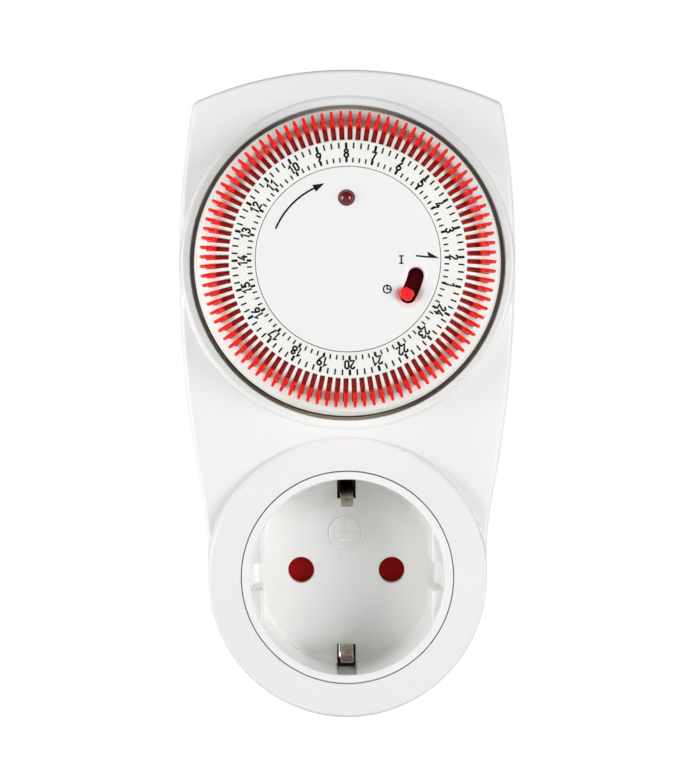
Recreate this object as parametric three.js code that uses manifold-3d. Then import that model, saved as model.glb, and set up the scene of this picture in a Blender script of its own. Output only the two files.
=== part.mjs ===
// Plug-in 24-hour segment time switch with an earthed round mains socket.
// Millimetres. +Z is up, the front faces -Y. The origin is the centre of the plug's end face,
// midway between the two pins, so the plug pins reach to +Y and the housing lies at -Y.

import * as THREE from "three";
import { mergeVertices } from "three/addons/utils/BufferGeometryUtils.js";
import Module from "manifold-3d";

const wasm = await Module();
wasm.setup();

// ---- Driving dimensions ----

const GAP = 0.3; // clearance between pieces that touch on the real object

// Plug and socket, from the standard for 16 A earthed round plugs
const PIN_SPACING = 19;
const PIN_RADIUS = 2.4;
const PIN_LENGTH = 19;
const PIN_HOLE_RADIUS = 2.72;
const WELL_DEPTH = 17.5;
const WELL_RIM_RADIUS = 19.6;
const WELL_FLOOR_RADIUS = 19.25;
const BOSS_DEPTH = 16.5;
const BOSS_RADIUS = 18.4;

// Planes along Y
const PLUG_Y = 0;
const REAR_Y = PLUG_Y - BOSS_DEPTH; // rear face of the housing, against the wall socket
const RING_Y = REAR_Y - 36.5; // front of the socket ring
const BEZEL_Y = RING_Y + 0.5; // front of the dial bezel
const FLOOR_Y = RING_Y + WELL_DEPTH;
const PARTING_Y = -30; // where the two covers meet
const PLATEAU_Y = RING_Y - 8.5; // front of the dial's flat part
const PLATE_Y = -45.7; // front of the mechanism plate

// Housing outline, seen from the front
const DIAL_Z = 63; // dial axis above the socket axis
const HALF_WIDTH = 34;
const WIDEST_Z = 64;
const TOP_Z = 101.8;
const TOP_ARC_RADIUS = 82;
const UPPER_SIDE_RADIUS = 180;
const LOWER_SIDE_RADIUS = 255;
const FOOT_RADIUS = 28.2;
const CROWN_RADIUS = 171; // the front face curves about a vertical axis
const WALL = 2;
const DRAFT = 0.6; // how much wider the rear is on each side

// Dial
const BEZEL_INNER = 31.6;
const BEZEL_OUTER = 33.2;
const LIP_RADIUS = 30.7;
const RIM_RADIUS = 29.9;
const RIM_Y = PLATEAU_Y + 4;
const PLATEAU_RADIUS = 23.1;
const DISC_RADIUS = 18;
const DIAL_BORE = DISC_RADIUS + GAP;
const SLOT_INNER = 23.3;
const SLOT_OUTER = 28.15;
const SLOT_WIDTH = 1.0;
const BLADE_WIDTH = 0.7;
const BLADE_OUTER = 28; // the blade's body in its slot
const FINGER_INNER = 25.3; // here the blade begins to rise above the dial
const FINGER_OUTER = 29.1; // the finger's tip overhangs the dial's cone
const SEGMENTS_PER_HOUR = 4;
const HOURS = 24;
const SEGMENTS = HOURS * SEGMENTS_PER_HOUR;
const SEGMENT_STEP = (2 * Math.PI) / SEGMENTS;
const TOP_HOUR = 8; // the hour shown at the top
const TOP_HOUR_ANGLE = THREE.MathUtils.degToRad(90.93);

// Gear train: dial gear, idler pinion and wheel, motor output pinion
const GEAR_MODULE = 0.9;
const DIAL_TEETH = 50;
const IDLER_PINION_TEETH = 8;
const IDLER_WHEEL_TEETH = 28;
const OUTPUT_TEETH = 8;
const MESH_SLACK = 0.1; // added to each centre distance

// ---- Colours and finishes ----

const finish = (color, roughness, metalness = 0) =>
  new THREE.MeshStandardMaterial({ color, roughness, metalness });
const WHITE = finish(0xf2f2f0, 0.35);
const DIAL_WHITE = finish(0xefede6, 0.45);
const RED = finish(0xf5392c, 0.35);
const DARK_RED = finish(0x8c1a20, 0.4);
const BLACK = finish(0x1d1d1f, 0.5);
const CARRIER_WHITE = finish(0xd9d5c8, 0.6);
const NICKEL = finish(0xb9b4a8, 0.25, 1);
const STEEL = finish(0x9a9da0, 0.4, 1);
const BRASS = finish(0xb8913e, 0.35, 1);
const COPPER = finish(0xa8552c, 0.45, 1);
const ACETAL = finish(0xe8e4d4, 0.4);
const GLASS = finish(0xd8b9a0, 0.1);
const BOARD = finish(0xa88a4e, 0.7);
const BROWN_WIRE = finish(0x5a3420, 0.5);
const BLACK_WIRE = finish(0x222222, 0.5);

// ---- Solid helpers ----

// A closed three.js geometry as a manifold, with its faces turned outwards.
function solid(geometry) {
  const bare = geometry.clone();
  bare.deleteAttribute("normal");
  bare.deleteAttribute("uv");
  const merged = mergeVertices(bare, 1e-4);
  const positions = merged.attributes.position.array;
  const triangles = Array.from(merged.index.array);
  const kept = [];
  let volume = 0;
  const corner = (i) => new THREE.Vector3().fromArray(positions, 3 * i);
  for (let i = 0; i < triangles.length; i += 3) {
    const [a, b, c] = triangles.slice(i, i + 3);
    if (a === b || b === c || c === a) continue;
    kept.push(a, b, c);
    volume += corner(a).dot(corner(b).cross(corner(c)));
  }
  if (volume < 0) kept.reverse();
  return new wasm.Manifold(
    new wasm.Mesh({
      numProp: 3,
      vertProperties: Float32Array.from(positions),
      triVerts: Uint32Array.from(kept),
    }),
  );
}

const join = (first, ...others) => others.reduce((sum, next) => sum.add(next), first);
const cut = (first, ...others) => others.reduce((rest, next) => rest.subtract(next), first);

// A box between two corners.
function box(x0, x1, y0, y1, z0, z1) {
  const shape = new THREE.BoxGeometry(x1 - x0, y1 - y0, z1 - z0);
  return solid(shape.translate((x0 + x1) / 2, (y0 + y1) / 2, (z0 + z1) / 2));
}

// A cylinder along Y.
function rod(radius, y0, y1, x = 0, z = 0, sides = 24) {
  const shape = new THREE.CylinderGeometry(radius, radius, y1 - y0, sides);
  return solid(shape.translate(x, (y0 + y1) / 2, z));
}

// A ring along Y.
function tube(inner, outer, y0, y1, x = 0, z = 0, sides = 48) {
  return cut(rod(outer, y0, y1, x, z, sides), rod(inner, y0 - 1, y1 + 1, x, z, sides));
}

// A closed profile of [radius, y] points, turned about the Y axis.
function turned(profile, sides = 48, start = 0) {
  const points = profile.map(([radius, y]) => new THREE.Vector2(radius, y));
  const closed = points[0].x < 1e-6 && points.at(-1).x < 1e-6;
  if (!closed) points.push(points[0].clone());
  return solid(new THREE.LatheGeometry(points, sides, start));
}

// A flat shape drawn in X and Z, from y0 to y1.
function slab(shape, y0, y1, divisions = 12) {
  const body = new THREE.ExtrudeGeometry(shape, {
    depth: y1 - y0,
    bevelEnabled: false,
    curveSegments: divisions,
  });
  return solid(body.rotateX(Math.PI / 2).translate(0, y1, 0));
}

// A flat shape drawn in Y and Z, from x0 to x1.
function sideSlab(shape, x0, x1) {
  const body = new THREE.ExtrudeGeometry(shape, {
    depth: x1 - x0,
    bevelEnabled: false,
    curveSegments: 8,
  });
  const turn = new THREE.Matrix4().makeBasis(
    new THREE.Vector3(0, 1, 0),
    new THREE.Vector3(0, 0, 1),
    new THREE.Vector3(1, 0, 0),
  );
  return solid(body.applyMatrix4(turn).translate(x0, 0, 0));
}

function polygon(points) {
  return new THREE.Shape(points.map(([a, b]) => new THREE.Vector2(a, b)));
}

// A closed body between two rings of points that have the same count.
function loft(lowRing, highRing, y0, y1) {
  const count = lowRing.length;
  const positions = [];
  for (const [ring, y] of [[lowRing, y0], [highRing, y1]]) {
    for (const point of ring) positions.push(point.x, y, point.y);
  }
  const index = [];
  for (let i = 0; i < count; i++) {
    const next = (i + 1) % count;
    index.push(i, next, count + i, next, count + next, count + i);
  }
  for (const [a, b, c] of THREE.ShapeUtils.triangulateShape(lowRing, [])) {
    index.push(c, b, a, count + a, count + b, count + c);
  }
  const body = new THREE.BufferGeometry();
  body.setAttribute("position", new THREE.Float32BufferAttribute(positions, 3));
  body.setIndex(index);
  return solid(body);
}

// A round wire along a smooth curve through the given points.
function wire(points, radius, steps) {
  const section = new THREE.Shape();
  section.absarc(0, 0, radius, 0, 2 * Math.PI);
  const path = new THREE.CatmullRomCurve3(points.map((point) => new THREE.Vector3(...point)));
  const body = new THREE.ExtrudeGeometry(section, {
    steps,
    curveSegments: 4,
    extrudePath: path,
    bevelEnabled: false,
  });
  return solid(body);
}

// A spur gear along Y with straight-flanked teeth; a tooth is centred on the given angle.
function spurGear(teeth, y0, y1, toothAngle = 0) {
  const pitch = (GEAR_MODULE * teeth) / 2;
  const tip = pitch + 0.78 * GEAR_MODULE;
  const root = pitch - 1.1 * GEAR_MODULE;
  const step = (2 * Math.PI) / teeth;
  const points = [];
  for (let i = 0; i < teeth; i++) {
    const middle = toothAngle + i * step;
    const corners = [[root, -0.27], [tip, -0.12], [tip, 0.12], [root, 0.27]];
    for (const [radius, part] of corners) {
      const angle = middle + part * step;
      points.push([radius * Math.cos(angle), radius * Math.sin(angle)]);
    }
  }
  return slab(polygon(points), y0, y1);
}

const polar = (radius, angle) => [radius * Math.cos(angle), radius * Math.sin(angle)];

// ---- The scene graph ----

const timer = new THREE.Group();
const dialAxis = new THREE.Group();
dialAxis.position.z = DIAL_Z;
timer.add(dialAxis);

// Adds a manifold to a group as a named mesh.
function piece(name, body, material, parent = timer) {
  const mesh = body.getMesh();
  const geometry = new THREE.BufferGeometry();
  geometry.setAttribute("position", new THREE.BufferAttribute(mesh.vertProperties, 3));
  geometry.setIndex(new THREE.BufferAttribute(mesh.triVerts, 1));
  const made = new THREE.Mesh(geometry, material);
  made.name = name;
  parent.add(made);
}

// ---- Housing ----

// Points of the housing outline, moved outwards by a distance.
function outline(distance) {
  const upperCentre = HALF_WIDTH - UPPER_SIDE_RADIUS;
  const lowerCentre = HALF_WIDTH - LOWER_SIDE_RADIUS;
  const topCentre = TOP_Z - TOP_ARC_RADIUS;
  const onUpperSide = (z) => [
    upperCentre + Math.sqrt(UPPER_SIDE_RADIUS ** 2 - (z - WIDEST_Z) ** 2), z];
  const onLowerSide = (z) => [
    lowerCentre + Math.sqrt(LOWER_SIDE_RADIUS ** 2 - (z - WIDEST_Z) ** 2), z];
  const onTop = (x) => [x, topCentre + Math.sqrt(TOP_ARC_RADIUS ** 2 - x ** 2)];
  const right = [];
  const footSteps = 9;
  for (let i = 0; i < footSteps; i++) {
    right.push(polar(FOOT_RADIUS, ((i / footSteps - 1) * Math.PI) / 2));
  }
  right.push([FOOT_RADIUS, 0]);
  right.push([FOOT_RADIUS + 0.3, 8.5]);
  for (const z of [15.9, 27, 39, 51, WIDEST_Z]) right.push(onLowerSide(z));
  for (const z of [75, 86, 94]) right.push(onUpperSide(z));
  right.push([31.0, 95.4]);
  for (const x of [30, 23, 15.5, 8]) right.push(onTop(x));
  const left = right.slice(1).map(([x, z]) => [-x, z]).reverse();
  const points = [...right, [0, TOP_Z], ...left].map(([x, z]) => new THREE.Vector2(x, z));
  return points.map((point, i) => {
    const before = points.at(i - 1);
    const after = points[(i + 1) % points.length];
    const along = after.clone().sub(before).normalize();
    return new THREE.Vector2(point.x + distance * along.y, point.y - distance * along.x);
  });
}

const draftAt = (y) => (DRAFT * (y - RING_Y)) / (REAR_Y - RING_Y);

// The housing's body between two planes, set in from the outer surface by a distance.
function housingBody(y0, y1, inset) {
  return loft(outline(draftAt(y0) - inset), outline(draftAt(y1) - inset), y0, y1);
}

// The space behind the crowned front face, set in by a distance.
function behindCrown(inset) {
  const half = 40;
  const steps = 8;
  const points = [];
  for (let i = 0; i <= steps; i++) {
    const x = -half + (2 * half * i) / steps;
    const radius = CROWN_RADIUS - inset;
    points.push([x, RING_Y + CROWN_RADIUS - Math.sqrt(radius ** 2 - x ** 2)]);
  }
  points.push([half, PLUG_Y], [-half, PLUG_Y]);
  const body = new THREE.ExtrudeGeometry(polygon(points), { depth: 150, bevelEnabled: false });
  return solid(body.translate(0, 0, -FOOT_RADIUS - 10));
}

const UPPER_POST = [26.5, 90.5];
const LOWER_POST = [24, 26];
const POSTS = [UPPER_POST, LOWER_POST].flatMap(([x, z]) => [[-x, z], [x, z]]);
const POST_RADIUS = 3;
const SCREW_RADIUS = 1.2;
const INSERT_RADIUS = 21.2;

function frontCover() {
  const shell = cut(
    housingBody(RING_Y - 1, PARTING_Y, 0).intersect(behindCrown(0)),
    housingBody(RING_Y - 1, PARTING_Y + 1, WALL).intersect(behindCrown(WALL)),
  );
  const bezel = turned([
    [BEZEL_INNER - 0.6, BEZEL_Y + 0.4],
    [BEZEL_INNER + 0.3, BEZEL_Y],
    [BEZEL_OUTER - 0.5, BEZEL_Y],
    [BEZEL_OUTER, BEZEL_Y + 0.7],
    [BEZEL_OUTER, PLATE_Y - GAP],
    [BEZEL_INNER - 0.6, PLATE_Y - GAP],
  ], 56).translate(0, 0, DIAL_Z);
  const ring = turned([
    [INSERT_RADIUS - 0.5, RING_Y],
    [FOOT_RADIUS - 1, RING_Y],
    [FOOT_RADIUS - 0.3, RING_Y + 0.7],
    [FOOT_RADIUS - 0.3, RING_Y + 5],
    [INSERT_RADIUS - 0.5, RING_Y + 5],
  ], 48);
  const posts = POSTS.map(([x, z]) =>
    rod(POST_RADIUS, RING_Y + 4, PARTING_Y - GAP, x, z, 12));
  const threads = POSTS.map(([x, z]) =>
    rod(SCREW_RADIUS + GAP, -44, PARTING_Y + 1, x, z, 8));
  return cut(
    join(shell, bezel, ring, ...posts.map((post) => post.intersect(behindCrown(1)))),
    rod(BEZEL_INNER, RING_Y - 5, PARTING_Y + 1, 0, DIAL_Z, 56),
    rod(INSERT_RADIUS + 0.15, RING_Y - 5, PARTING_Y + 1, 0, 0, 48),
    ...threads,
  );
}

// Cross-section of the plug: round, with a flat each side and a rib in the middle of each flat.
function bossShape() {
  const flat = 16.7;
  const ribHalf = 2.3;
  const shape = new THREE.Shape();
  const flatAngle = Math.acos(flat / BOSS_RADIUS);
  const ribAngle = Math.asin(ribHalf / BOSS_RADIUS);
  shape.moveTo(...polar(BOSS_RADIUS, -ribAngle));
  shape.lineTo(...polar(BOSS_RADIUS, ribAngle));
  shape.lineTo(flat, ribHalf);
  shape.absarc(0, 0, BOSS_RADIUS, flatAngle, Math.PI - flatAngle);
  shape.lineTo(-flat, ribHalf);
  shape.lineTo(...polar(BOSS_RADIUS, Math.PI - ribAngle));
  shape.lineTo(...polar(BOSS_RADIUS, Math.PI + ribAngle));
  shape.lineTo(-flat, -ribHalf);
  shape.absarc(0, 0, BOSS_RADIUS, Math.PI + flatAngle, 2 * Math.PI - flatAngle);
  shape.lineTo(flat, -ribHalf);
  return shape;
}

const PLUG_END_WALL = 3;
const BOSS_BORE = 15.4;
const STRAP_HALF = 1.5;
const STRAP_THICK = 0.8;
const STRAP_RUN = 18.6; // outer side of the straight run, from the socket axis
const STRAP_PLUG = 17.4; // outer side of the contact beside the plug

function rearCover() {
  const shell = cut(
    housingBody(PARTING_Y + GAP, REAR_Y, 0),
    housingBody(PARTING_Y - 1, REAR_Y - WALL, WALL),
  );
  const boss = slab(bossShape(), REAR_Y - 1, PLUG_Y, 16);
  const posts = POSTS.map(([x, z]) => rod(POST_RADIUS + 0.7, PARTING_Y + GAP, REAR_Y - 1, x, z, 12));
  const heads = POSTS.map(([x, z]) => rod(2.6, PARTING_Y + 4, REAR_Y + 1, x, z, 12));
  const shanks = POSTS.map(([x, z]) => rod(SCREW_RADIUS + GAP, -40, REAR_Y + 1, x, z, 8));
  const pinHoles = [-1, 1].map((side) =>
    rod(PIN_RADIUS + GAP, -10, PLUG_Y + 1, (side * PIN_SPACING) / 2, 0));
  const strapGrooves = [-1, 1].map((side) => {
    const near = side * (STRAP_PLUG - STRAP_THICK - 2 * GAP);
    const far = side * (STRAP_RUN + 2);
    return box(
      -STRAP_HALF - GAP, STRAP_HALF + GAP, REAR_Y - WALL - 1, PLUG_Y - 0.8,
      Math.min(near, far), Math.max(near, far));
  });
  return cut(
    join(shell, boss, ...posts),
    rod(BOSS_BORE, REAR_Y - 4, PLUG_Y - PLUG_END_WALL, 0, 0, 40),
    ...heads, ...shanks, ...pinHoles, ...strapGrooves,
  );
}

function housingScrew([x, z]) {
  return turned([
    [0, -42],
    [SCREW_RADIUS - 0.5, -42],
    [SCREW_RADIUS, -40.5],
    [SCREW_RADIUS, PARTING_Y + 4 + GAP],
    [2.2, PARTING_Y + 4 + GAP],
    [2.2, PARTING_Y + 5.4],
    [1.4, PARTING_Y + 6.2],
    [0, PARTING_Y + 6.2],
  ], 8).translate(x, 0, z);
}

// ---- Socket ----

const INSERT_FLOOR = 3;
const INSERT_BACK_Y = FLOOR_Y + INSERT_FLOOR;
const CLIP_SLOT_HALF = 1.95;
const CLIP_SLOT_INNER = 15;
const CLIP_SLOT_OUTER = 20.6;

function socketInsert() {
  const cup = turned([
    [0, FLOOR_Y],
    [WELL_FLOOR_RADIUS, FLOOR_Y],
    [WELL_RIM_RADIUS, RING_Y + 0.1],
    [INSERT_RADIUS - 0.15, RING_Y + 0.1],
    [INSERT_RADIUS - 0.15, INSERT_BACK_Y - 2.5],
    [24.3, INSERT_BACK_Y - 2.5],
    [24.3, INSERT_BACK_Y],
    [0, INSERT_BACK_Y],
  ], 48);
  // Two guide blocks on each side, with a groove between them for the plug's rib
  const blocks = [-1, 1].flatMap((side) => [-1, 1].map((up) => {
    const x = [side * 17, side * 20.5].sort((a, b) => a - b);
    const z = [up * 2.6, up * 10.6].sort((a, b) => a - b);
    return box(...x, RING_Y + 1.5, FLOOR_Y + 1, ...z);
  }));
  const withinCup = rod(INSERT_RADIUS - 0.4, RING_Y, FLOOR_Y + 1, 0, 0, 48);
  const pinHoles = [-1, 1].map((side) =>
    rod(PIN_HOLE_RADIUS, FLOOR_Y - 1, INSERT_BACK_Y + 1, (side * PIN_SPACING) / 2, 0));
  const clipSlots = [-1, 1].map((up) => {
    const z = [up * CLIP_SLOT_INNER, up * CLIP_SLOT_OUTER].sort((a, b) => a - b);
    return box(-CLIP_SLOT_HALF, CLIP_SLOT_HALF, RING_Y + 1, INSERT_BACK_Y + 1, ...z);
  });
  const pivot = rod(1.5, INSERT_BACK_Y - 1, SHUTTER_Y1 + 2.5, 0, 0, 16);
  return join(
    cut(
      join(cup, ...blocks.map((block) => block.intersect(withinCup))),
      ...pinHoles, ...clipSlots,
    ),
    pivot,
  );
}

const SHUTTER_Y0 = INSERT_BACK_Y + GAP;
const SHUTTER_Y1 = SHUTTER_Y0 + 1.8;

// A bar that closes both pin holes and turns aside on the pivot behind the floor.
function shutter() {
  const half = 13.2;
  const halfWidth = 3.3;
  const shape = new THREE.Shape();
  const endAngle = Math.asin(halfWidth / half);
  shape.absarc(0, 0, half, -endAngle, endAngle);
  shape.lineTo(4.6, halfWidth);
  shape.lineTo(3, 3.6);
  shape.lineTo(-3, 3.6);
  shape.lineTo(-4.6, halfWidth);
  shape.absarc(0, 0, half, Math.PI - endAngle, Math.PI + endAngle);
  shape.lineTo(-4.6, -halfWidth);
  shape.lineTo(-3, -3.6);
  shape.lineTo(3, -3.6);
  shape.lineTo(4.6, -halfWidth);
  return cut(
    slab(shape, SHUTTER_Y0, SHUTTER_Y1, 6),
    rod(1.5 + GAP, SHUTTER_Y0 - 1, SHUTTER_Y1 + 1, 0, 0, 16),
  );
}

// A coil on the pivot behind the shutter.
function shutterSpring() {
  const turns = 2;
  const stepsPerTurn = 8;
  const radius = 2.35;
  const points = [];
  for (let i = 0; i <= turns * stepsPerTurn; i++) {
    const [x, z] = polar(radius, (2 * Math.PI * i) / stepsPerTurn);
    points.push([x, SHUTTER_Y1 + 0.65 + (1.3 * i) / (turns * stepsPerTurn), z]);
  }
  return wire(points, 0.25, turns * stepsPerTurn);
}

const CARRIER_Y0 = -27.3;
const CARRIER_Y1 = -20.6;

// The insulating block that holds both socket contacts.
function contactCarrier() {
  const block = box(-15, 15, CARRIER_Y0, CARRIER_Y1, -5.5, 5.5);
  const cavities = [-1, 1].map((side) => {
    const x = (side * PIN_SPACING) / 2;
    return box(x - 4.2, x + 4.2, CARRIER_Y0 - 1, CARRIER_Y1 + 1, -3.4, 3.4);
  });
  const springWell = rod(3.2, CARRIER_Y0 - 1, CARRIER_Y0 + 2.5, 0, 0, 20);
  return cut(block, ...cavities, springWell);
}

// Two spring leaves that grip a plug pin, on a base with a tail towards the back.
function pinContact(side, tailEnd) {
  const x = (side * PIN_SPACING) / 2;
  const leaf = polygon([
    [3.4, -0.4], [3.4, -1], [-3.4, -1], [-3.4, -0.4],
    [-3.0, 3], [-1.9, 4.8], [-2.9, 7.4], [-3.4, 7.2],
    [-2.5, 4.8], [-3.6, 3], [-3.9, -0.4], [-3.9, -1.6],
    [3.9, -1.6], [3.9, -0.4], [3.6, 3], [2.5, 4.8],
    [3.4, 7.2], [2.9, 7.4], [1.9, 4.8], [3.0, 3],
  ]);
  const body = new THREE.ExtrudeGeometry(leaf, { depth: 5, bevelEnabled: false });
  const clip = solid(body.rotateX(Math.PI).translate(x, CARRIER_Y1 - 1.6, 2.5));
  const tail = box(x - 0.4, x + 0.4, CARRIER_Y1 - 1, tailEnd, -2, 2);
  return join(clip, tail);
}

function plugPin(side) {
  return turned([
    [0, -13],
    [PIN_RADIUS - 0.4, -13],
    [PIN_RADIUS - 0.4, -7],
    [3.6, -7],
    [3.6, PLUG_Y - PLUG_END_WALL - GAP],
    [PIN_RADIUS, PLUG_Y - PLUG_END_WALL - GAP],
    [PIN_RADIUS, PIN_LENGTH - 1.6],
    [PIN_RADIUS - 0.7, PIN_LENGTH - 0.4],
    [PIN_RADIUS - 1.5, PIN_LENGTH],
    [0, PIN_LENGTH],
  ], 16).translate((side * PIN_SPACING) / 2, 0, 0);
}

// A strip that bulges into the well as the front clip, runs back beside the socket
// and lies along the plug as its side contact.
function earthStrap(side) {
  const centre = [
    [RING_Y + 6, 17.2], [RING_Y + 7.5, 16], [RING_Y + 10.5, 14.5], [RING_Y + 12.3, 14.9],
    [RING_Y + 15.5, 17.6], [RING_Y + 17.5, STRAP_RUN - 0.4], [REAR_Y - 3.2, STRAP_RUN - 0.4],
    [REAR_Y - 2.2, STRAP_PLUG - 0.6], [REAR_Y + 4, STRAP_PLUG - 0.6],
    [REAR_Y + 8, STRAP_PLUG + 0.4], [REAR_Y + 12, STRAP_PLUG + 0.2],
    [REAR_Y + 15, STRAP_PLUG - 0.6],
  ];
  const half = STRAP_THICK / 2;
  const outer = centre.map(([y, z]) => [y, side * (z + half)]);
  const inner = centre.map(([y, z]) => [y, side * (z - half)]).reverse();
  return sideSlab(polygon([...outer, ...inner]), -STRAP_HALF + 0.2, STRAP_HALF - 0.2);
}

function earthBridge() {
  const reach = STRAP_RUN - 0.8 - GAP;
  return box(-STRAP_HALF, STRAP_HALF, CARRIER_Y1 + 0.25, CARRIER_Y1 + 0.85, -reach, reach);
}

// ---- Dial ----

const LENS_CENTRE = [-0.3, 12];
const DISC_WALL = 1.5;
const SLOT_ARC_RADIUS = 13.7; // centre line of the override slot
const SLOT_HALF_WIDTH = 1.6;
const OVERRIDE_ON = THREE.MathUtils.degToRad(-13);
const OVERRIDE_AUTO = THREE.MathUtils.degToRad(-31);
const ARM_Y0 = PLATEAU_Y + 4.3; // the override's arm lies deep behind the slot
const ARM_Y1 = ARM_Y0 + 1.4;
const PEG_RADIUS = 12;
const HOUR_ANGLE = (2 * Math.PI) / HOURS;

const hourTick = (hour) => TOP_HOUR_ANGLE + (hour - TOP_HOUR) * HOUR_ANGLE;

// A radial plate: a profile in radius and Y, centred on an angle seen from the front.
function radialPlate(profile, width, angle) {
  const body = new THREE.ExtrudeGeometry(polygon(profile), { depth: width, bevelEnabled: false });
  body.translate(0, 0, -width / 2);
  return solid(body.rotateY(-angle));
}

const SLOT_FLOOR_Y = PLATEAU_Y + 5.3; // inner side of the slotted band
const DIAL_TUBE = 19.5; // outer radius of the tube that the dial turns on
const DIAL_TUBE_END_Y = -48.6;

function dialRing() {
  const body = turned([
    [DIAL_BORE, PLATEAU_Y],
    [PLATEAU_RADIUS, PLATEAU_Y],
    [RIM_RADIUS, RIM_Y],
    [LIP_RADIUS, RIM_Y + 4.8],
    [LIP_RADIUS - 1, RIM_Y + 4.8],
    [LIP_RADIUS - 1, SLOT_FLOOR_Y],
    [DIAL_TUBE, SLOT_FLOOR_Y],
    [DIAL_TUBE, DIAL_TUBE_END_Y],
    [DIAL_BORE, DIAL_TUBE_END_Y],
  ], SEGMENTS, TOP_HOUR_ANGLE + Math.PI / 2);
  const slot = [
    [SLOT_INNER, PLATEAU_Y - 1], [SLOT_OUTER, PLATEAU_Y - 1],
    [SLOT_OUTER, SLOT_FLOOR_Y + 1], [SLOT_INNER, SLOT_FLOOR_Y + 1],
  ];
  const slots = [];
  for (let i = 0; i < SEGMENTS; i++) {
    slots.push(radialPlate(slot, SLOT_WIDTH, hourTick(0) + (i + 0.5) * SEGMENT_STEP));
  }
  return cut(body, ...slots);
}

// Four switching blades of one hour on the bar that joins them under the dial.
function hourSegments(hour) {
  const barY = SLOT_FLOOR_Y + GAP;
  const blade = [
    [SLOT_INNER + 0.2, PLATEAU_Y + 3],
    [FINGER_INNER, PLATEAU_Y + 3],
    [FINGER_INNER + 1.2, PLATEAU_Y],
    [FINGER_OUTER, PLATEAU_Y + 0.4],
    [FINGER_OUTER, PLATEAU_Y + 1.8],
    [BLADE_OUTER, PLATEAU_Y + 1.3],
    [BLADE_OUTER, barY + 0.7],
    [SLOT_INNER + 0.2, barY + 0.7],
  ];
  const bladeAngle = (k) => hourTick(hour) + (k + 0.5) * SEGMENT_STEP;
  const blades = [];
  for (let k = 0; k < SEGMENTS_PER_HOUR; k++) {
    blades.push(radialPlate(blade, BLADE_WIDTH, bladeAngle(k)));
  }
  const first = bladeAngle(0);
  const last = bladeAngle(SEGMENTS_PER_HOUR - 1);
  const bar = polygon([polar(24.6, first), polar(27.6, first), polar(27.6, last), polar(24.6, last)]);
  return join(slab(bar, barY, barY + 0.8), ...blades);
}

function centreDisc() {
  const face = turned([
    [0, PLATEAU_Y],
    [DISC_RADIUS, PLATEAU_Y],
    [DISC_RADIUS, PLATEAU_Y + DISC_WALL],
    [DISC_RADIUS - 0.2, PLATE_Y - GAP],
    [DISC_RADIUS - 1.6, PLATE_Y - GAP],
    [DISC_RADIUS - 1.6, PLATEAU_Y + DISC_WALL],
    [0, PLATEAU_Y + DISC_WALL],
  ], 48);
  const post = rod(1.8, PLATEAU_Y + 1, ARM_Y1 + 0.6, 0, 0, 16);
  const slot = arcSlot(SLOT_ARC_RADIUS, SLOT_HALF_WIDTH, OVERRIDE_AUTO, OVERRIDE_ON);
  return cut(
    join(face, post),
    slab(slot, PLATEAU_Y - 1, PLATEAU_Y + DISC_WALL + 0.5, 6),
    rod(1.85, PLATEAU_Y - 1, PLATEAU_Y + DISC_WALL + 0.5, ...LENS_CENTRE, 20),
  );
}

// A slot with round ends along an arc, between two angles of its end centres.
function arcSlot(radius, halfWidth, from, to) {
  const shape = new THREE.Shape();
  shape.absarc(0, 0, radius + halfWidth, from, to);
  shape.absarc(...polar(radius, to), halfWidth, to, to + Math.PI);
  shape.absarc(0, 0, radius - halfWidth, to, from, true);
  shape.absarc(...polar(radius, from), halfWidth, from + Math.PI, from + 2 * Math.PI);
  return shape;
}

// The arm turns on the centre disc's post; its knob comes through the slot, and its wide end
// closes the slot from behind in every position.
function overrideSlider() {
  const hub = rod(3.6, ARM_Y0, ARM_Y1, 0, 0, 20);
  const arm = box(2, 12, ARM_Y0, ARM_Y1, -2.6, 2.6);
  const fanHalf = THREE.MathUtils.degToRad(27);
  const fanShape = new THREE.Shape();
  fanShape.absarc(0, 0, 16, -fanHalf, fanHalf);
  fanShape.absarc(0, 0, 11.3, fanHalf, -fanHalf, true);
  const fan = slab(fanShape, ARM_Y0, ARM_Y1, 6);
  const knob = slab(polygon([
    [12.3, -1], [12.8, -1.4], [14.6, -1.4], [15.1, -1],
    [15.1, 1], [14.6, 1.4], [12.8, 1.4], [12.3, 1],
  ]), PLATEAU_Y - 1.7, PLATEAU_Y - GAP);
  const stem = box(12.7, 14.7, PLATEAU_Y - 1, ARM_Y1 - 0.5, -0.9, 0.9);
  const peg = rod(1, ARM_Y0 + 0.5, PLATE_Y + 1.5, PEG_RADIUS, 0, 12);
  const bore = rod(1.8 + GAP, ARM_Y0 - 1, ARM_Y1 + 1, 0, 0, 16);
  const degrees = THREE.MathUtils.radToDeg(OVERRIDE_AUTO);
  return cut(join(hub, arm, fan, knob, stem, peg), bore).rotate([0, -degrees, 0]);
}

function indicatorLens() {
  return turned([
    [0, PLATEAU_Y - 0.9],
    [0.8, PLATEAU_Y - 0.65],
    [1.3, PLATEAU_Y - 0.2],
    [1.55, PLATEAU_Y + 0.4],
    [1.55, PLATEAU_Y + DISC_WALL + GAP],
    [2.3, PLATEAU_Y + DISC_WALL + GAP],
    [2.3, PLATEAU_Y + DISC_WALL + 0.9],
    [0, PLATEAU_Y + DISC_WALL + 0.9],
  ], 20).translate(LENS_CENTRE[0], 0, LENS_CENTRE[1]);
}

const LAMP_BOARD_Y = -49;

function neonLamp() {
  return turned([
    [0, PLATEAU_Y + 3.2],
    [0.7, PLATEAU_Y + 3.4],
    [1.5, PLATEAU_Y + 4.4],
    [1.5, LAMP_BOARD_Y - GAP],
    [0, LAMP_BOARD_Y - GAP],
  ], 14).translate(LENS_CENTRE[0], 0, LENS_CENTRE[1]);
}

const lampBoard = () => box(-4.8, 4.8, LAMP_BOARD_Y, LAMP_BOARD_Y + 1, 6.2, 13.4);

// ---- Mechanism ----

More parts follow.
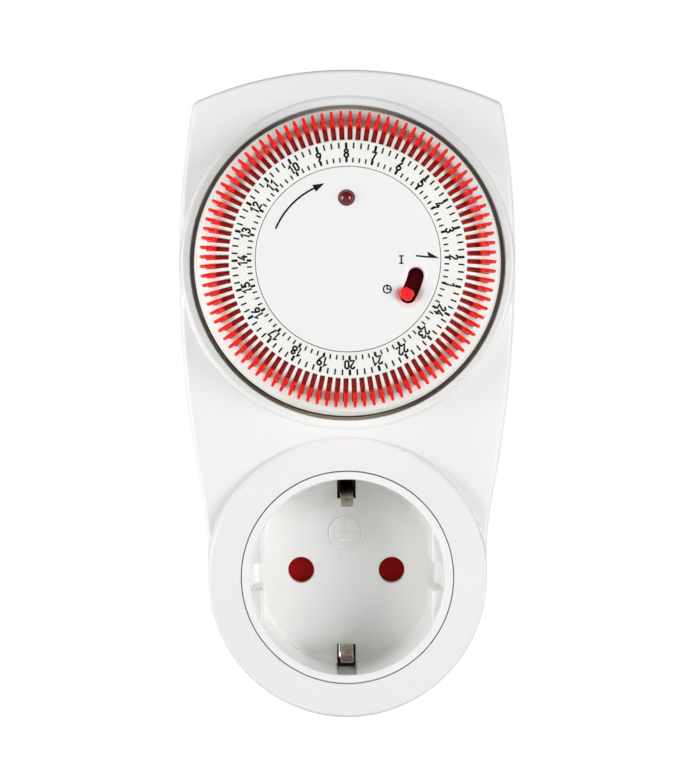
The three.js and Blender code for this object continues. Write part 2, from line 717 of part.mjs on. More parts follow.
const idlerDistance = (GEAR_MODULE * (DIAL_TEETH + IDLER_PINION_TEETH)) / 2 + MESH_SLACK;
const outputDistance = (GEAR_MODULE * (IDLER_WHEEL_TEETH + OUTPUT_TEETH)) / 2 + MESH_SLACK;
const IDLER_ANGLE = THREE.MathUtils.degToRad(-110);
const IDLER = polar(idlerDistance, IDLER_ANGLE); // from the dial axis
const MOTOR = [0, IDLER[1] + Math.sqrt(outputDistance ** 2 - IDLER[0] ** 2)];
const OUTPUT_ANGLE = Math.atan2(MOTOR[1] - IDLER[1], MOTOR[0] - IDLER[0]);

const DIAL_GEAR_Y = [-51.4, -49.3];
const WHEEL_Y = [-43.6, -42.2];
const MOTOR_PLATE_Y = [-41, -39.8];
const MOTOR_BACK_Y = -24;
const CAN_RADIUS = 16;

function dialGear() {
  const gear = spurGear(DIAL_TEETH, ...DIAL_GEAR_Y, IDLER_ANGLE);
  return cut(gear, rod(DIAL_TUBE + GAP, -60, -40, 0, 0, 40));
}

function idlerGear() {
  const [x, z] = IDLER;
  const gap = Math.PI / IDLER_PINION_TEETH;
  const pinion = spurGear(IDLER_PINION_TEETH, DIAL_GEAR_Y[0] + 0.2, DIAL_GEAR_Y[1], IDLER_ANGLE + Math.PI + gap);
  const neck = rod(2.3, DIAL_GEAR_Y[1] - 0.5, WHEEL_Y[0] + 0.5, 0, 0, 16);
  const wheel = spurGear(IDLER_WHEEL_TEETH, ...WHEEL_Y, OUTPUT_ANGLE);
  return cut(join(pinion, neck, wheel), rod(1.3, -60, -40, 0, 0, 14)).translate(x, 0, z);
}

function outputPinion() {
  const gap = Math.PI / OUTPUT_TEETH;
  const gear = spurGear(OUTPUT_TEETH, ...WHEEL_Y, OUTPUT_ANGLE + Math.PI + gap);
  const shaft = rod(1.2, WHEEL_Y[1] - 0.5, -38, 0, 0, 12);
  return join(gear, shaft).translate(MOTOR[0], 0, MOTOR[1]);
}

const idlerAxle = () => rod(1, -51.9, MOTOR_PLATE_Y[1], ...IDLER, 12);

function mechanismPlate() {
  const plate = rod(31.2, PLATE_Y, PLATE_Y + 1.5, 0, 0, 48);
  const hub = tube(14.6, 15.9, -50.5, PLATE_Y + 0.5, 0, 0, 32);
  return cut(
    join(plate, hub),
    box(8.8, 14.2, -47, -43, -9.2, -1.2), // window for the override peg
    box(23.4, 28.2, -60, -43, -2.4, 2.4), // window for the lever's nose
    rod(2.8, -60, -40, ...IDLER, 16),
  );
}

function motorPlate() {
  const [x, z] = MOTOR;
  const plate = rod(18.6, ...MOTOR_PLATE_Y, x, z, 40);
  const legs = [50, 130, 300].map((degrees) => {
    const [dx, dz] = polar(17, THREE.MathUtils.degToRad(degrees));
    return rod(1.4, PLATE_Y + 1.5 + GAP, MOTOR_PLATE_Y[0] + 0.5, x + dx, z + dz, 10);
  });
  return cut(
    join(plate, ...legs),
    rod(1.2 + GAP, -60, -30, x, z, 14),
    rod(1.3, -60, -30, ...IDLER, 14),
  );
}

function motorCan() {
  const front = MOTOR_PLATE_Y[1] + GAP;
  return turned([
    [CAN_RADIUS - 0.9, front],
    [CAN_RADIUS, front],
    [CAN_RADIUS, MOTOR_BACK_Y - 0.8],
    [CAN_RADIUS - 0.8, MOTOR_BACK_Y],
    [0, MOTOR_BACK_Y],
    [0, MOTOR_BACK_Y - 0.9],
    [CAN_RADIUS - 0.9, MOTOR_BACK_Y - 0.9],
  ], 32).translate(MOTOR[0], 0, MOTOR[1]);
}

const motorCoil = () => tube(7, 14.5, -38.6, -25.5, MOTOR[0], MOTOR[1], 28);

// Microswitch, from the dial axis
const SWITCH_X = [20.4, 26.6];
const SWITCH_Z = [-10, 10];
const SWITCH_Y = [-40, -30];

function microswitch() {
  const body = box(...SWITCH_X, ...SWITCH_Y, ...SWITCH_Z);
  const well = box(22.3, 24.7, SWITCH_Y[0] - 1, SWITCH_Y[0] + 2, -1.2, 1.2);
  const middle = (SWITCH_X[0] + SWITCH_X[1]) / 2;
  const terminals = [-8, 0, 8].map((z) =>
    box(middle - 1.6, middle + 1.6, SWITCH_Y[1] - 1, SWITCH_Y[1] + 3, z - 0.4, z + 0.4));
  return join(cut(body, well), ...terminals);
}

const switchPlunger = () => box(22.7, 24.3, SWITCH_Y[0] - 1.6, SWITCH_Y[0] + 0.7, -0.8, 0.8);

const LEVER_Y = [-43.1, -42.3];
const LEVER_PIVOT = [(LEVER_Y[0] + LEVER_Y[1]) / 2, 11];

// Feels pressed segments with its nose and is also pushed by the override peg.
function switchLever() {
  const bar = box(21, 26.8, ...LEVER_Y, -3, 11);
  const tongue = box(10, 22, ...LEVER_Y, -4.4, -0.6);
  const nose = box(24.2, 27.4, -52.2, LEVER_Y[1], -0.8, 0.8);
  const sleeve = tubeAlongX(20.6, 27.2, 0.5, 1.3, LEVER_PIVOT);
  return cut(join(bar, tongue, nose, sleeve), rodAlongX(19, 29, 0.5, LEVER_PIVOT));
}

function rodAlongX(x0, x1, radius, [y, z]) {
  const shape = new THREE.CylinderGeometry(radius, radius, x1 - x0, 12);
  return solid(shape.rotateZ(Math.PI / 2).translate((x0 + x1) / 2, y, z));
}

function tubeAlongX(x0, x1, inner, outer, centre) {
  return cut(rodAlongX(x0, x1, outer, centre), rodAlongX(x0 - 1, x1 + 1, inner, centre));
}

// From the inner end of the line pin to the microswitch
const lineWire = () => wire([
  [9.5, -14.3, 0], [9.8, -15.4, 2.5], [10.4, -17.4, 5.5], [11, -19.6, 9],
  [13, -22.5, 16], [16.5, -24, 30], [21, -24.5, 42], [23.5, -25.8, 48], [23.5, -26.6, 54.5],
], 0.9, 16);

// From the microswitch to the line contact of the socket
const loadWire = () => wire([
  [9.5, -19.2, 0], [8.7, -18.7, 2.4], [7.2, -18.7, 5.5], [6.4, -20, 9.5],
  [7, -22, 16], [10, -22.5, 27], [14, -22, 38], [19.4, -22, 50], [23.5, -24.5, 58.5],
  [23.5, -26.6, 62.8],
], 0.9, 18);

// ---- Assembly ----

piece("front_cover", frontCover(), WHITE);
piece("rear_cover", rearCover(), WHITE);
POSTS.forEach((post, i) => piece(`housing_screw_${i + 1}`, housingScrew(post), STEEL));

piece("socket_insert", socketInsert(), WHITE);
piece("shutter", shutter(), DARK_RED);
piece("shutter_spring", shutterSpring(), STEEL);
piece("contact_carrier", contactCarrier(), CARRIER_WHITE);
piece("line_contact", pinContact(1, -20.5), BRASS);
piece("neutral_contact", pinContact(-1, -13.3), BRASS);
piece("line_pin", plugPin(1), NICKEL);
piece("neutral_pin", plugPin(-1), NICKEL);
piece("earth_strap_upper", earthStrap(1), NICKEL);
piece("earth_strap_lower", earthStrap(-1), NICKEL);
piece("earth_bridge", earthBridge(), BRASS);

piece("dial_ring", dialRing(), DIAL_WHITE, dialAxis);
piece("dial_gear", dialGear(), ACETAL, dialAxis);
for (let hour = 1; hour <= HOURS; hour++) {
  piece(`segments_hour_${String(hour).padStart(2, "0")}`, hourSegments(hour), RED, dialAxis);
}
piece("centre_disc", centreDisc(), WHITE, dialAxis);
piece("indicator_lens", indicatorLens(), DARK_RED, dialAxis);
piece("neon_lamp", neonLamp(), GLASS, dialAxis);
piece("lamp_board", lampBoard(), BOARD, dialAxis);
piece("override_slider", overrideSlider(), RED, dialAxis);

piece("mechanism_plate", mechanismPlate(), BLACK, dialAxis);
piece("idler_gear", idlerGear(), ACETAL, dialAxis);
piece("idler_axle", idlerAxle(), STEEL, dialAxis);
piece("motor_plate", motorPlate(), STEEL, dialAxis);
piece("motor_can", motorCan(), STEEL, dialAxis);
piece("motor_coil", motorCoil(), COPPER, dialAxis);
piece("output_pinion", outputPinion(), BRASS, dialAxis);
piece("microswitch", microswitch(), BLACK, dialAxis);
piece("switch_plunger", switchPlunger(), RED, dialAxis);
piece("switch_lever", switchLever(), STEEL, dialAxis);
piece("line_wire", lineWire(), BROWN_WIRE);
piece("load_wire", loadWire(), BLACK_WIRE);

export default timer;
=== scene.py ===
"""Looks of a plug-in 24-hour segment time switch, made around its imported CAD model.

Shapes are worked out in millimetres and scaled to metres when a mesh is made. +Z is up and the front
faces -Y. Angles are in degrees from +X towards +Z, as seen from the front.
"""

import functools
import math

import bmesh
import bpy
import numpy as np
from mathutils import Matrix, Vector, geometry, kdtree

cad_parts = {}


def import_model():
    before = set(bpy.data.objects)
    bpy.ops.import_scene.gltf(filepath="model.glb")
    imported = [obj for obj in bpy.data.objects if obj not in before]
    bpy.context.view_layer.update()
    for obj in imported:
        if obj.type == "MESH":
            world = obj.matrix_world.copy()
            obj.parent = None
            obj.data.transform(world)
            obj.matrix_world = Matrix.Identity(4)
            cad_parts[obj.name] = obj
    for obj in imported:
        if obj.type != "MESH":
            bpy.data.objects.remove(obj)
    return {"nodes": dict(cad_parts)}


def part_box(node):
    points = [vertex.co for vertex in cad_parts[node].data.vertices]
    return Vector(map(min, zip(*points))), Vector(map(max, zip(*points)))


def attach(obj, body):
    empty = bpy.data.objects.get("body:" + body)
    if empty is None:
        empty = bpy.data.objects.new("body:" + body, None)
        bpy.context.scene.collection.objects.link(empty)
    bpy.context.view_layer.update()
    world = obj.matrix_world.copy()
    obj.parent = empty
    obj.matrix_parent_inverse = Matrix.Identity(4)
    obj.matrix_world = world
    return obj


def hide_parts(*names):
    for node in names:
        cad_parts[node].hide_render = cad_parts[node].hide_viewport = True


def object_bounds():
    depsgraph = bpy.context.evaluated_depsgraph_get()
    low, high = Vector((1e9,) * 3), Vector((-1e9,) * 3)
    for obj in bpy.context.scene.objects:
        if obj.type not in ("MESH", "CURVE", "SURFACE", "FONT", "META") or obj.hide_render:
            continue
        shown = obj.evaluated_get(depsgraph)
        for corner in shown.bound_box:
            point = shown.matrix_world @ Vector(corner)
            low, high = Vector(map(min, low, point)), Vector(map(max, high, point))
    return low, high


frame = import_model()
CAD_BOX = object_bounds()

MM = 0.001


def box_mm(node):
    low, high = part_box(node)
    return np.array(low) / MM, np.array(high) / MM


# ---- Places taken from the CAD model ----

COVER_LOW, COVER_HIGH = box_mm("front_cover")
REAR_LOW, REAR_HIGH = box_mm("rear_cover")
DIAL_LOW, DIAL_HIGH = box_mm("dial_ring")
BAR_BACK_Y = box_mm("segments_hour_01")[1][1]

RING_Y = COVER_LOW[1]  # front of the socket ring
PARTING_Y = COVER_HIGH[1]  # the front cover ends here
REAR_COVER_Y = REAR_LOW[1]  # and the rear cover begins here
PLUG_Y = REAR_HIGH[1]
REAR_Y = PLUG_Y - 16.5  # rear face of the housing
PLATEAU_Y = DIAL_LOW[1]
DIAL = np.array([(DIAL_LOW[0] + DIAL_HIGH[0]) / 2, (DIAL_LOW[2] + DIAL_HIGH[2]) / 2])
SOCKET = (0.0, 0.0)
INSERT_BACK_Y = -32.5
FLOOR_Y = INSERT_BACK_Y - 3
PLATE_Y = box_mm("mechanism_plate")[1][1] - 1.5

# ---- Driving dimensions of the visible surfaces ----

HALF_WIDTH = 34.0
WIDEST_Z = 64.0
TOP_Z = 101.8
TOP_ARC_RADIUS = 82.0
UPPER_SIDE_RADIUS = 180.0
LOWER_SIDE_RADIUS = 255.0
CORNER_RADIUS = 1.9
FOOT_RADIUS = 28.2
CROWN_RADIUS = 171.0
CROWN_Y = RING_Y + 0.6
DRAFT = 0.6
WALL = 1.7
HOLLOW_EDGE = WALL + 0.2
EDGE_ROUNDING = 0.9

BEZEL_Y = RING_Y + 0.25
BEZEL_INNER = 31.6
BEZEL_OUTER = 33.5
LEDGE_RADIUS = 31.0
LEDGE_Y = BEZEL_Y + 3.2
RING_OUTER = 28.1
INSERT_BORE = 21.35

PLATEAU_RADIUS = 23.1
RIM_RADIUS = 29.9
RIM_Y = PLATEAU_Y + 4
LIP_RADIUS = 30.7
SLOT_INNER = 23.3
SLOT_OUTER = 28.15
SLOT_WIDTH = 1.0
SLOT_FLOOR_Y = PLATEAU_Y + 5.3
DISC_RADIUS = 18.08
DIAL_BORE = 18.22

HOURS = 24
QUARTERS = 4
TOP_HOUR = 8
TOP_HOUR_ANGLE = 90.93
SEGMENT_STEP = 360 / (HOURS * QUARTERS)

PIN_X = 9.5
PIN_HOLE_RADIUS = 2.72
LENS = (DIAL[0] - 0.3, DIAL[1] + 12.0)
LENS_HOLE = 1.6
OVERRIDE_ARC = 13.7
OVERRIDE_HALF = 1.6
OVERRIDE_AUTO = -31.0
OVERRIDE_ON = -13.0

UPPER_POST = (26.5, 90.5)
LOWER_POST = (24.0, 26.0)
POSTS = [(side * x, z) for x, z in (UPPER_POST, LOWER_POST) for side in (-1, 1)]
POST_BORE = 1.5

# ---- Flat shapes ----


def polar(radius, degrees):
    angle = math.radians(degrees)
    return np.array([radius * math.cos(angle), radius * math.sin(angle)])


def arc(centre, radius, start, end, steps):
    angles = np.radians(np.linspace(start, end, steps + 1))
    return np.column_stack([centre[0] + radius * np.cos(angles), centre[1] + radius * np.sin(angles)])


def circle(radius, steps, centre=(0, 0)):
    return arc(centre, radius, 0, 360, steps)[:-1]


def away(x, z, centre):
    return np.hypot(x - centre[0], z - centre[1])


def rounded(corners, steps=5):
    """A closed outline whose corners, given as (a, b, radius), are rounded."""
    points = []
    for i, (a, b, radius) in enumerate(corners):
        here = np.array([a, b], float)
        if radius <= 0:
            points.append(here)
            continue
        before = np.array(corners[i - 1][:2], float) - here
        after = np.array(corners[(i + 1) % len(corners)][:2], float) - here
        before /= np.linalg.norm(before)
        after /= np.linalg.norm(after)
        half = math.acos(np.clip(before @ after, -1, 1)) / 2
        middle = before + after
        centre = here + middle / np.linalg.norm(middle) * radius / math.sin(half)
        first = here + before * radius / math.tan(half) - centre
        last = here + after * radius / math.tan(half) - centre
        turn = math.pi - 2 * half
        for k in range(steps + 1):
            t = k / steps
            swung = math.sin((1 - t) * turn) * first + math.sin(t * turn) * last
            points.append(centre + swung / math.sin(turn))
    return np.array(points)


def rectangle(x0, x1, z0, z1, radius=0.0, steps=3):
    return rounded([(x, z, radius) for x, z in ((x0, z0), (x1, z0), (x1, z1), (x0, z1))], steps)


def inset(points, distance):
    """A closed outline moved inwards."""
    points = np.asarray(points, float)
    if distance == 0:
        return points
    ahead = np.roll(points, -1, axis=0) - points
    area = np.sum(points[:, 0] * np.roll(points[:, 1], -1) - np.roll(points[:, 0], -1) * points[:, 1])
    ahead /= np.linalg.norm(ahead, axis=1)[:, None]
    normal = np.column_stack([ahead[:, 1], -ahead[:, 0]]) * np.sign(area)
    previous = np.roll(normal, 1, axis=0)
    mitre = (normal + previous) / (1 + np.sum(normal * previous, axis=1))[:, None]
    return points - distance * mitre


def turned_by(points, degrees, centre=(0, 0)):
    c, s = math.cos(math.radians(degrees)), math.sin(math.radians(degrees))
    points = np.asarray(points, float)
    return np.column_stack([
        centre[0] + points[:, 0] * c - points[:, 1] * s,
        centre[1] + points[:, 0] * s + points[:, 1] * c])


def smooth_path(points, steps):
    """A Catmull-Rom curve through points of any dimension."""
    points = np.asarray(points, float)
    ends = np.vstack([2 * points[0] - points[1], points, 2 * points[-1] - points[-2]])
    made = []
    for k in range(1, len(ends) - 2):
        p0, p1, p2, p3 = ends[k - 1:k + 3]
        for i in range(steps):
            t = i / steps
            made.append(0.5 * (2 * p1 + (p2 - p0) * t + (2 * p0 - 5 * p1 + 4 * p2 - p3) * t ** 2
                               + (3 * p1 - p0 - 3 * p2 + p3) * t ** 3))
    made.append(points[-1])
    return np.array(made)


# ---- Bodies: a shape is (points, faces) in millimetres ----


def outward(verts, faces):
    volume = 0.0
    for face in faces:
        a = verts[face[0]]
        for i in range(1, len(face) - 1):
            volume += a @ np.cross(verts[face[i]], verts[face[i + 1]])
    return verts, faces if volume > 0 else [face[::-1] for face in faces]


def merge(*shapes):
    verts, faces, base = [], [], 0
    for points, polygons in shapes:
        verts.append(points)
        faces += [tuple(base + i for i in face) for face in polygons]
        base += len(points)
    return np.vstack(verts), faces


def stack(rings, looped=False):
    """A body through rings that have the same number of points; its ends are capped unless it is looped."""
    count = len(rings[0])
    faces = []
    for k in range(len(rings) if looped else len(rings) - 1):
        a, b = k * count, (k + 1) % len(rings) * count
        faces += [(a + i, a + (i + 1) % count, b + (i + 1) % count, b + i) for i in range(count)]
    if not looped:
        last = (len(rings) - 1) * count
        faces.append(tuple(range(count))[::-1])
        faces.append(tuple(range(last, last + count)))
    return outward(np.vstack(rings), faces)


def at_y(points, y):
    """Flat points in X and Z, placed in space."""
    points = np.asarray(points)
    return np.column_stack([points[:, 0], np.full(len(points), y), points[:, 1]])


def lathe(profile, steps, centre=(0, 0), start=0.0):
    """A closed profile of (radius, y) turned about an axis along Y."""
    profile = np.asarray(profile, float)
    rings = []
    for angle in np.radians(start + np.arange(steps) * 360 / steps):
        rings.append(np.column_stack([
            centre[0] + profile[:, 0] * math.cos(angle), profile[:, 1],
            centre[1] + profile[:, 0] * math.sin(angle)]))
    return weld(stack(rings, looped=True))


def weld(shape, distance=1e-4):
    """Joins points that coincide, such as those of a lathe on its axis."""
    work = bmesh.new()
    made = [work.verts.new(point) for point in shape[0]]
    for face in shape[1]:
        work.faces.new([made[i] for i in face])
    bmesh.ops.remove_doubles(work, verts=work.verts, dist=distance)
    work.verts.index_update()
    verts = np.array([v.co for v in work.verts])
    faces = [tuple(v.index for v in face.verts) for face in work.faces]
    work.free()
    return verts, faces


def edge_round(radius, steps=4):
    """(aside, fall) distances down a quarter round, from the flat face to the wall."""
    if not radius:
        return [(0.0, 0.0)]
    return [(radius * (1 - math.sin(angle)), radius * (1 - math.cos(angle)))
            for angle in np.radians(np.linspace(0, 90, steps + 1))]


def prism(points, y0, y1, front=0.0):
    """An outline from y0 to y1, its front edge rounded."""
    rings = [at_y(inset(points, aside), y0 + fall) for aside, fall in edge_round(front)]
    return stack([*rings, at_y(points, y1)])


def block(x0, x1, y0, y1, z0, z1):
    return stack([at_y(rectangle(x0, x1, z0, z1), y) for y in (y0, y1)])


def cylinder(radius, y0, y1, centre=(0, 0), steps=64):
    return stack([at_y(circle(radius, steps, centre), y) for y in (y0, y1)])


def hole(radius, y0, y1, centre=(0, 0), flare=0.25, steps=72):
    """A cutter for a hole that starts at y0 with a rounded mouth."""
    rings = [at_y(circle(radius + flare, steps, centre), y0 - 1)]
    rings += [at_y(circle(radius + aside, steps, centre), y0 + fall) for aside, fall in edge_round(flare)]
    return stack([*rings, at_y(circle(radius, steps, centre), y1)])


def sweep(path, section, across=(1, 0, 0)):
    """A section of (across, normal) points along a path in space whose plane is square to across."""
    across = np.array(across, float)
    ahead = np.gradient(path, axis=0)
    rings = []
    for point, direction in zip(path, ahead):
        normal = np.cross(across, direction / np.linalg.norm(direction))
        rings.append(point + section[:, :1] * across + section[:, 1:] * normal)
    return stack(rings)


def solid(name, shape, scale=MM):
    mesh = bpy.data.meshes.new(name)
    mesh.from_pydata((np.asarray(shape[0]) * scale).tolist(), [], shape[1])
    mesh.update()
    made = bpy.data.objects.new(name, mesh)
    bpy.context.scene.collection.objects.link(made)
    return made


def boolean(operation, base, *others):
    """One body joined to, cut by or cropped by others."""
    made = [solid("working", shape, 1) for shape in (base, *others)]
    for other in made[1:]:
        modifier = made[0].modifiers.new("boolean", "BOOLEAN")
        modifier.operation = operation
        modifier.solver = "MANIFOLD"
        modifier.object = other
    evaluated = made[0].evaluated_get(bpy.context.evaluated_depsgraph_get())
    mesh = evaluated.to_mesh()
    verts = np.zeros(3 * len(mesh.vertices), np.float32)
    mesh.vertices.foreach_get("co", verts)
    faces = [tuple(face.vertices) for face in mesh.polygons]
    evaluated.to_mesh_clear()
    for other in made:
        data = other.data
        bpy.data.objects.remove(other)
        bpy.data.meshes.remove(data)
    return verts.reshape(-1, 3).astype(float), faces


cut, join, crop = (functools.partial(boolean, kind) for kind in ("DIFFERENCE", "UNION", "INTERSECT"))


def spin(shape, degrees, centre=DIAL):
    """A shape turned about an axis along Y, from its place about the origin to a place about the centre."""
    flat = turned_by(shape[0][:, [0, 2]], degrees, centre)
    return np.column_stack([flat[:, 0], shape[0][:, 1], flat[:, 1]]), shape[1]


def piece(name, shape, look, slot, *replaces, body="housing", crease=32):
    made = solid(name, shape)
    made.data.materials.append(MATERIALS[look])
    made.data.shade_smooth()
    made.data.set_sharp_from_angle(angle=math.radians(crease))
    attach(made, body)
    if replaces:
        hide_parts(*replaces)
    return made


# ---- Materials ----


def tone(red, green, blue):
    """A colour given as it looks on a screen, 0 to 255, as the linear values that shaders use."""
    values = [v / 255 for v in (red, green, blue)]
    return tuple(v / 12.92 if v <= 0.04045 else ((v + 0.055) / 1.055) ** 2.4 for v in values) + (1.0,)


class Nodes:
    """A node tree with short ways to add to it."""

    def __init__(self, tree):
        self.tree = tree

    def put(self, socket, value):
        """Links another node's output to a socket, or gives the socket a plain value."""
        if hasattr(value, "is_output"):
            self.tree.links.new(value, socket)
        else:
            socket.default_value = value

    def node(self, kind, **values):
        made = self.tree.nodes.new(kind)
        for key, value in values.items():
            if hasattr(made, key):
                setattr(made, key, value)
            else:
                self.put(made.inputs[key.replace("_", " ")], value)
        return made


class Look(Nodes):
    """A node-based material around one Principled shader."""

    def __init__(self, name):
        self.material = bpy.data.materials.new(name)
        self.material.use_nodes = True
        super().__init__(self.material.node_tree)
        self.shader = self.tree.nodes["Principled BSDF"]
        self.place = self.node("ShaderNodeTexCoord").outputs["Object"]

    def set(self, **values):
        for key, value in values.items():
            self.put(self.shader.inputs[key.replace("_", " ")], value)

    def noise(self, scale, detail=3.0, roughness=0.5, stretch=(1, 1, 1)):
        mapping = self.node("ShaderNodeMapping", Vector=self.place, Scale=stretch)
        made = self.node("ShaderNodeTexNoise", Vector=mapping.outputs["Vector"],
                         Scale=scale, Detail=detail, Roughness=roughness)
        return made.outputs["Fac"]

    def ramp(self, source, low, high, start=0.3, end=0.7):
        made = self.node("ShaderNodeMapRange", Value=source,
                         From_Min=start, From_Max=end, To_Min=low, To_Max=high)
        return made.outputs["Result"]

    def mix(self, factor, first, second):
        made = self.node("ShaderNodeMix", data_type="RGBA", Factor=factor)
        self.put(made.inputs[6], tone(*first))
        self.put(made.inputs[7], tone(*second))
        return made.outputs[2]

    def colour(self, pattern, first, second):
        """A base colour that drifts between two tones with a pattern."""
        self.set(Base_Color=self.mix(self.ramp(pattern, 0, 1), first, second))

    def bump(self, height, depth, strength=1.0, **onto):
        made = self.node("ShaderNodeBump", Height=height, Distance=depth, Strength=strength, **onto)
        self.set(Normal=made.outputs["Normal"])
        return made.outputs["Normal"]


def moulded(name, first, second, roughness, sheen=0.5, soft_colour=None):
    """Moulded plastic: slow changes of tone from flow and wall thickness, with a fine spark-eroded grain."""
    look = Look(name)
    look.colour(look.noise(38, 2.0, 0.4), first, second)
    look.set(Roughness=look.ramp(look.noise(160, 3.0, 0.6), roughness - 0.04, roughness + 0.05),
             Specular_IOR_Level=sheen, IOR=1.49)
    if soft_colour:
        look.set(Subsurface_Weight=0.6, Subsurface_Radius=soft_colour, Subsurface_Scale=0.0012)
    grain = look.bump(look.noise(5200, 2.0, 0.5), 0.000004)
    look.bump(look.noise(60, 0.0, 0.4), 0.00001, 0.3, Normal=grain)
    return look.material


def plated(name, first, second, roughness, stretch, brush=0.000003):
    """Metal: drawn lines along the strip, dull patches and small scratches."""
    look = Look(name)
    look.colour(look.noise(420, 4.0, 0.6), first, second)
    lines = look.noise(1800, 3.0, 0.6, stretch)
    look.set(Metallic=1.0, Roughness=look.ramp(lines, roughness - 0.08, roughness + 0.12))
    look.bump(lines, brush)
    return look.material


def make_materials():
    made = {
        "housing": moulded("housing_white", (240, 240, 238), (239, 238, 236), 0.33),
        "socket": moulded("socket_white", (245, 244, 242), (244, 243, 240), 0.3),
        "dial": moulded("dial_warm_white", (248, 246, 240), (246, 243, 236), 0.42),
        "disc": moulded("disc_white", (245, 244, 242), (244, 243, 241), 0.36),
        "segments": moulded("segment_red", (248, 42, 30), (240, 34, 24), 0.24, soft_colour=(1, 0.08, 0.05)),
        "knob": moulded("knob_red", (252, 34, 40), (246, 28, 34), 0.34, sheen=0.4),
        # painted shade: the arm is the knob's red plastic, coloured dark maroon to stand in for the shade behind
        # the slot
        "arm": moulded("arm_red_painted_shade", (112, 5, 10), (98, 4, 8), 0.5, sheen=0.12),
        "shutter": moulded("shutter_red", (172, 6, 10), (146, 4, 8), 0.45, sheen=0.12),
        "black": moulded("black_moulding", (34, 33, 34), (26, 25, 26), 0.5),
        "plate": moulded("plate_brown", (128, 112, 99), (116, 101, 89), 0.55),
        # painted shade: the ledge is the housing's white plastic, coloured darker and warmer to stand in for the
        # dim, warm bounce light down the gap
        "ledge": moulded("ledge_painted_warm_shade", (222, 200, 180), (212, 190, 170), 0.5),
        "acetal": moulded("acetal", (232, 228, 212), (224, 219, 202), 0.38),
        "carrier": moulded("carrier_cream", (217, 211, 196), (208, 202, 186), 0.55),
        "nickel": plated("nickel_plate", (196, 188, 178), (150, 140, 128), 0.24, (6, 1, 1)),
        "pin": plated("pin_nickel", (206, 202, 196), (182, 177, 170), 0.2, (1, 8, 1)),
        "steel": plated("zinc_steel", (170, 172, 174), (140, 142, 146), 0.34, (1, 1, 6)),
        "brass": plated("stamped_brass", (206, 168, 88), (170, 128, 60), 0.3, (1, 6, 1)),
        "copper": plated("wound_copper", (184, 98, 52), (130, 60, 30), 0.36, (1, 60, 1), 0.00003),
        "brown_wire": moulded("wire_brown", (92, 52, 32), (80, 44, 27), 0.45),
        "black_wire": moulded("wire_black", (36, 36, 38), (28, 28, 30), 0.45),
    }
    board = Look("paper_board")
    fibre = board.noise(900, 5.0, 0.7, (1, 1, 4))
    board.colour(fibre, (176, 142, 84), (150, 116, 64))
    board.set(Roughness=0.65)
    board.bump(fibre, 0.00001)
    ink = Look("print_black")
    spread = ink.noise(2600, 3.0, 0.6)
    ink.colour(spread, (20, 16, 18), (30, 26, 28))
    ink.set(Roughness=ink.ramp(spread, 0.45, 0.6), Specular_IOR_Level=0.2)
    lens = Look("lens_deep_red")
    depth = lens.noise(700, 2.0, 0.5)
    lens.colour(depth, (112, 6, 14), (96, 5, 11))
    lens.set(Roughness=0.07, Specular_IOR_Level=0.7, IOR=1.5,
             Subsurface_Weight=0.15, Subsurface_Radius=(1.0, 0.15, 0.1), Subsurface_Scale=0.001)
    lens.bump(depth, 0.00001, 0.5)
    bulb = Look("bulb_glass")
    bulb.colour(bulb.noise(300), (235, 214, 196), (226, 190, 160))
    bulb.set(Roughness=0.06, Transmission_Weight=0.7, IOR=1.5)
    made |= {"board": board.material, "ink": ink.material, "lens": lens.material, "lamp": bulb.material}
    return made


MATERIALS = make_materials()

# ---- Housing outline ----


def outline_arcs():
    """The right half of the outline from the bottom up, as (centre x, centre z, radius, start, end) in degrees.

    A negative radius bends the other way. The foot leads into the widening side by an arc tangent to both.
    """
    lower = (HALF_WIDTH - LOWER_SIDE_RADIUS, WIDEST_Z)
    upper = (HALF_WIDTH - UPPER_SIDE_RADIUS, WIDEST_Z)
    top = (0.0, TOP_Z - TOP_ARC_RADIUS)
    # The blend: a circle to the right of the housing, tangent to x = FOOT_RADIUS and to the lower side
    blend = 70.0
    centre_x = FOOT_RADIUS + blend
    centre_z = WIDEST_Z - math.sqrt((LOWER_SIDE_RADIUS + blend) ** 2 - (centre_x - lower[0]) ** 2)
    join_angle = math.degrees(math.atan2(centre_z - lower[1], centre_x - lower[0]))
    # The corner between the upper side and the top
    reach_side, reach_top = UPPER_SIDE_RADIUS - CORNER_RADIUS, TOP_ARC_RADIUS - CORNER_RADIUS
    gap = math.hypot(upper[0] - top[0], upper[1] - top[1])
    along = (reach_side ** 2 - reach_top ** 2 + gap ** 2) / (2 * gap)
    aside = math.sqrt(reach_side ** 2 - along ** 2)
    ux, uz = (top[0] - upper[0]) / gap, (top[1] - upper[1]) / gap
    corner = (upper[0] + along * ux - aside * uz, upper[1] + along * uz + aside * ux)
    side_end = math.degrees(math.atan2(corner[1] - upper[1], corner[0] - upper[0]))
    top_start = math.degrees(math.atan2(corner[1] - top[1], corner[0] - top[0]))
    # The straight stretch from the foot to the blend, as an arc of a very large radius
    straight = 1e5
    straight_half = math.degrees(centre_z / 2 / straight)
    return [
        (0.0, 0.0, FOOT_RADIUS, -90.0, 0.0),
        (FOOT_RADIUS - straight, centre_z / 2, straight, -straight_half, straight_half),
        (centre_x, centre_z, -blend, 180 + join_angle, 180.0),
        (*lower, LOWER_SIDE_RADIUS, join_angle, 0.0),
        (*upper, UPPER_SIDE_RADIUS, 0.0, side_end),
        (*corner, CORNER_RADIUS, side_end, top_start),
        (*top, TOP_ARC_RADIUS, top_start, 90.0),
    ]


ARCS = outline_arcs()


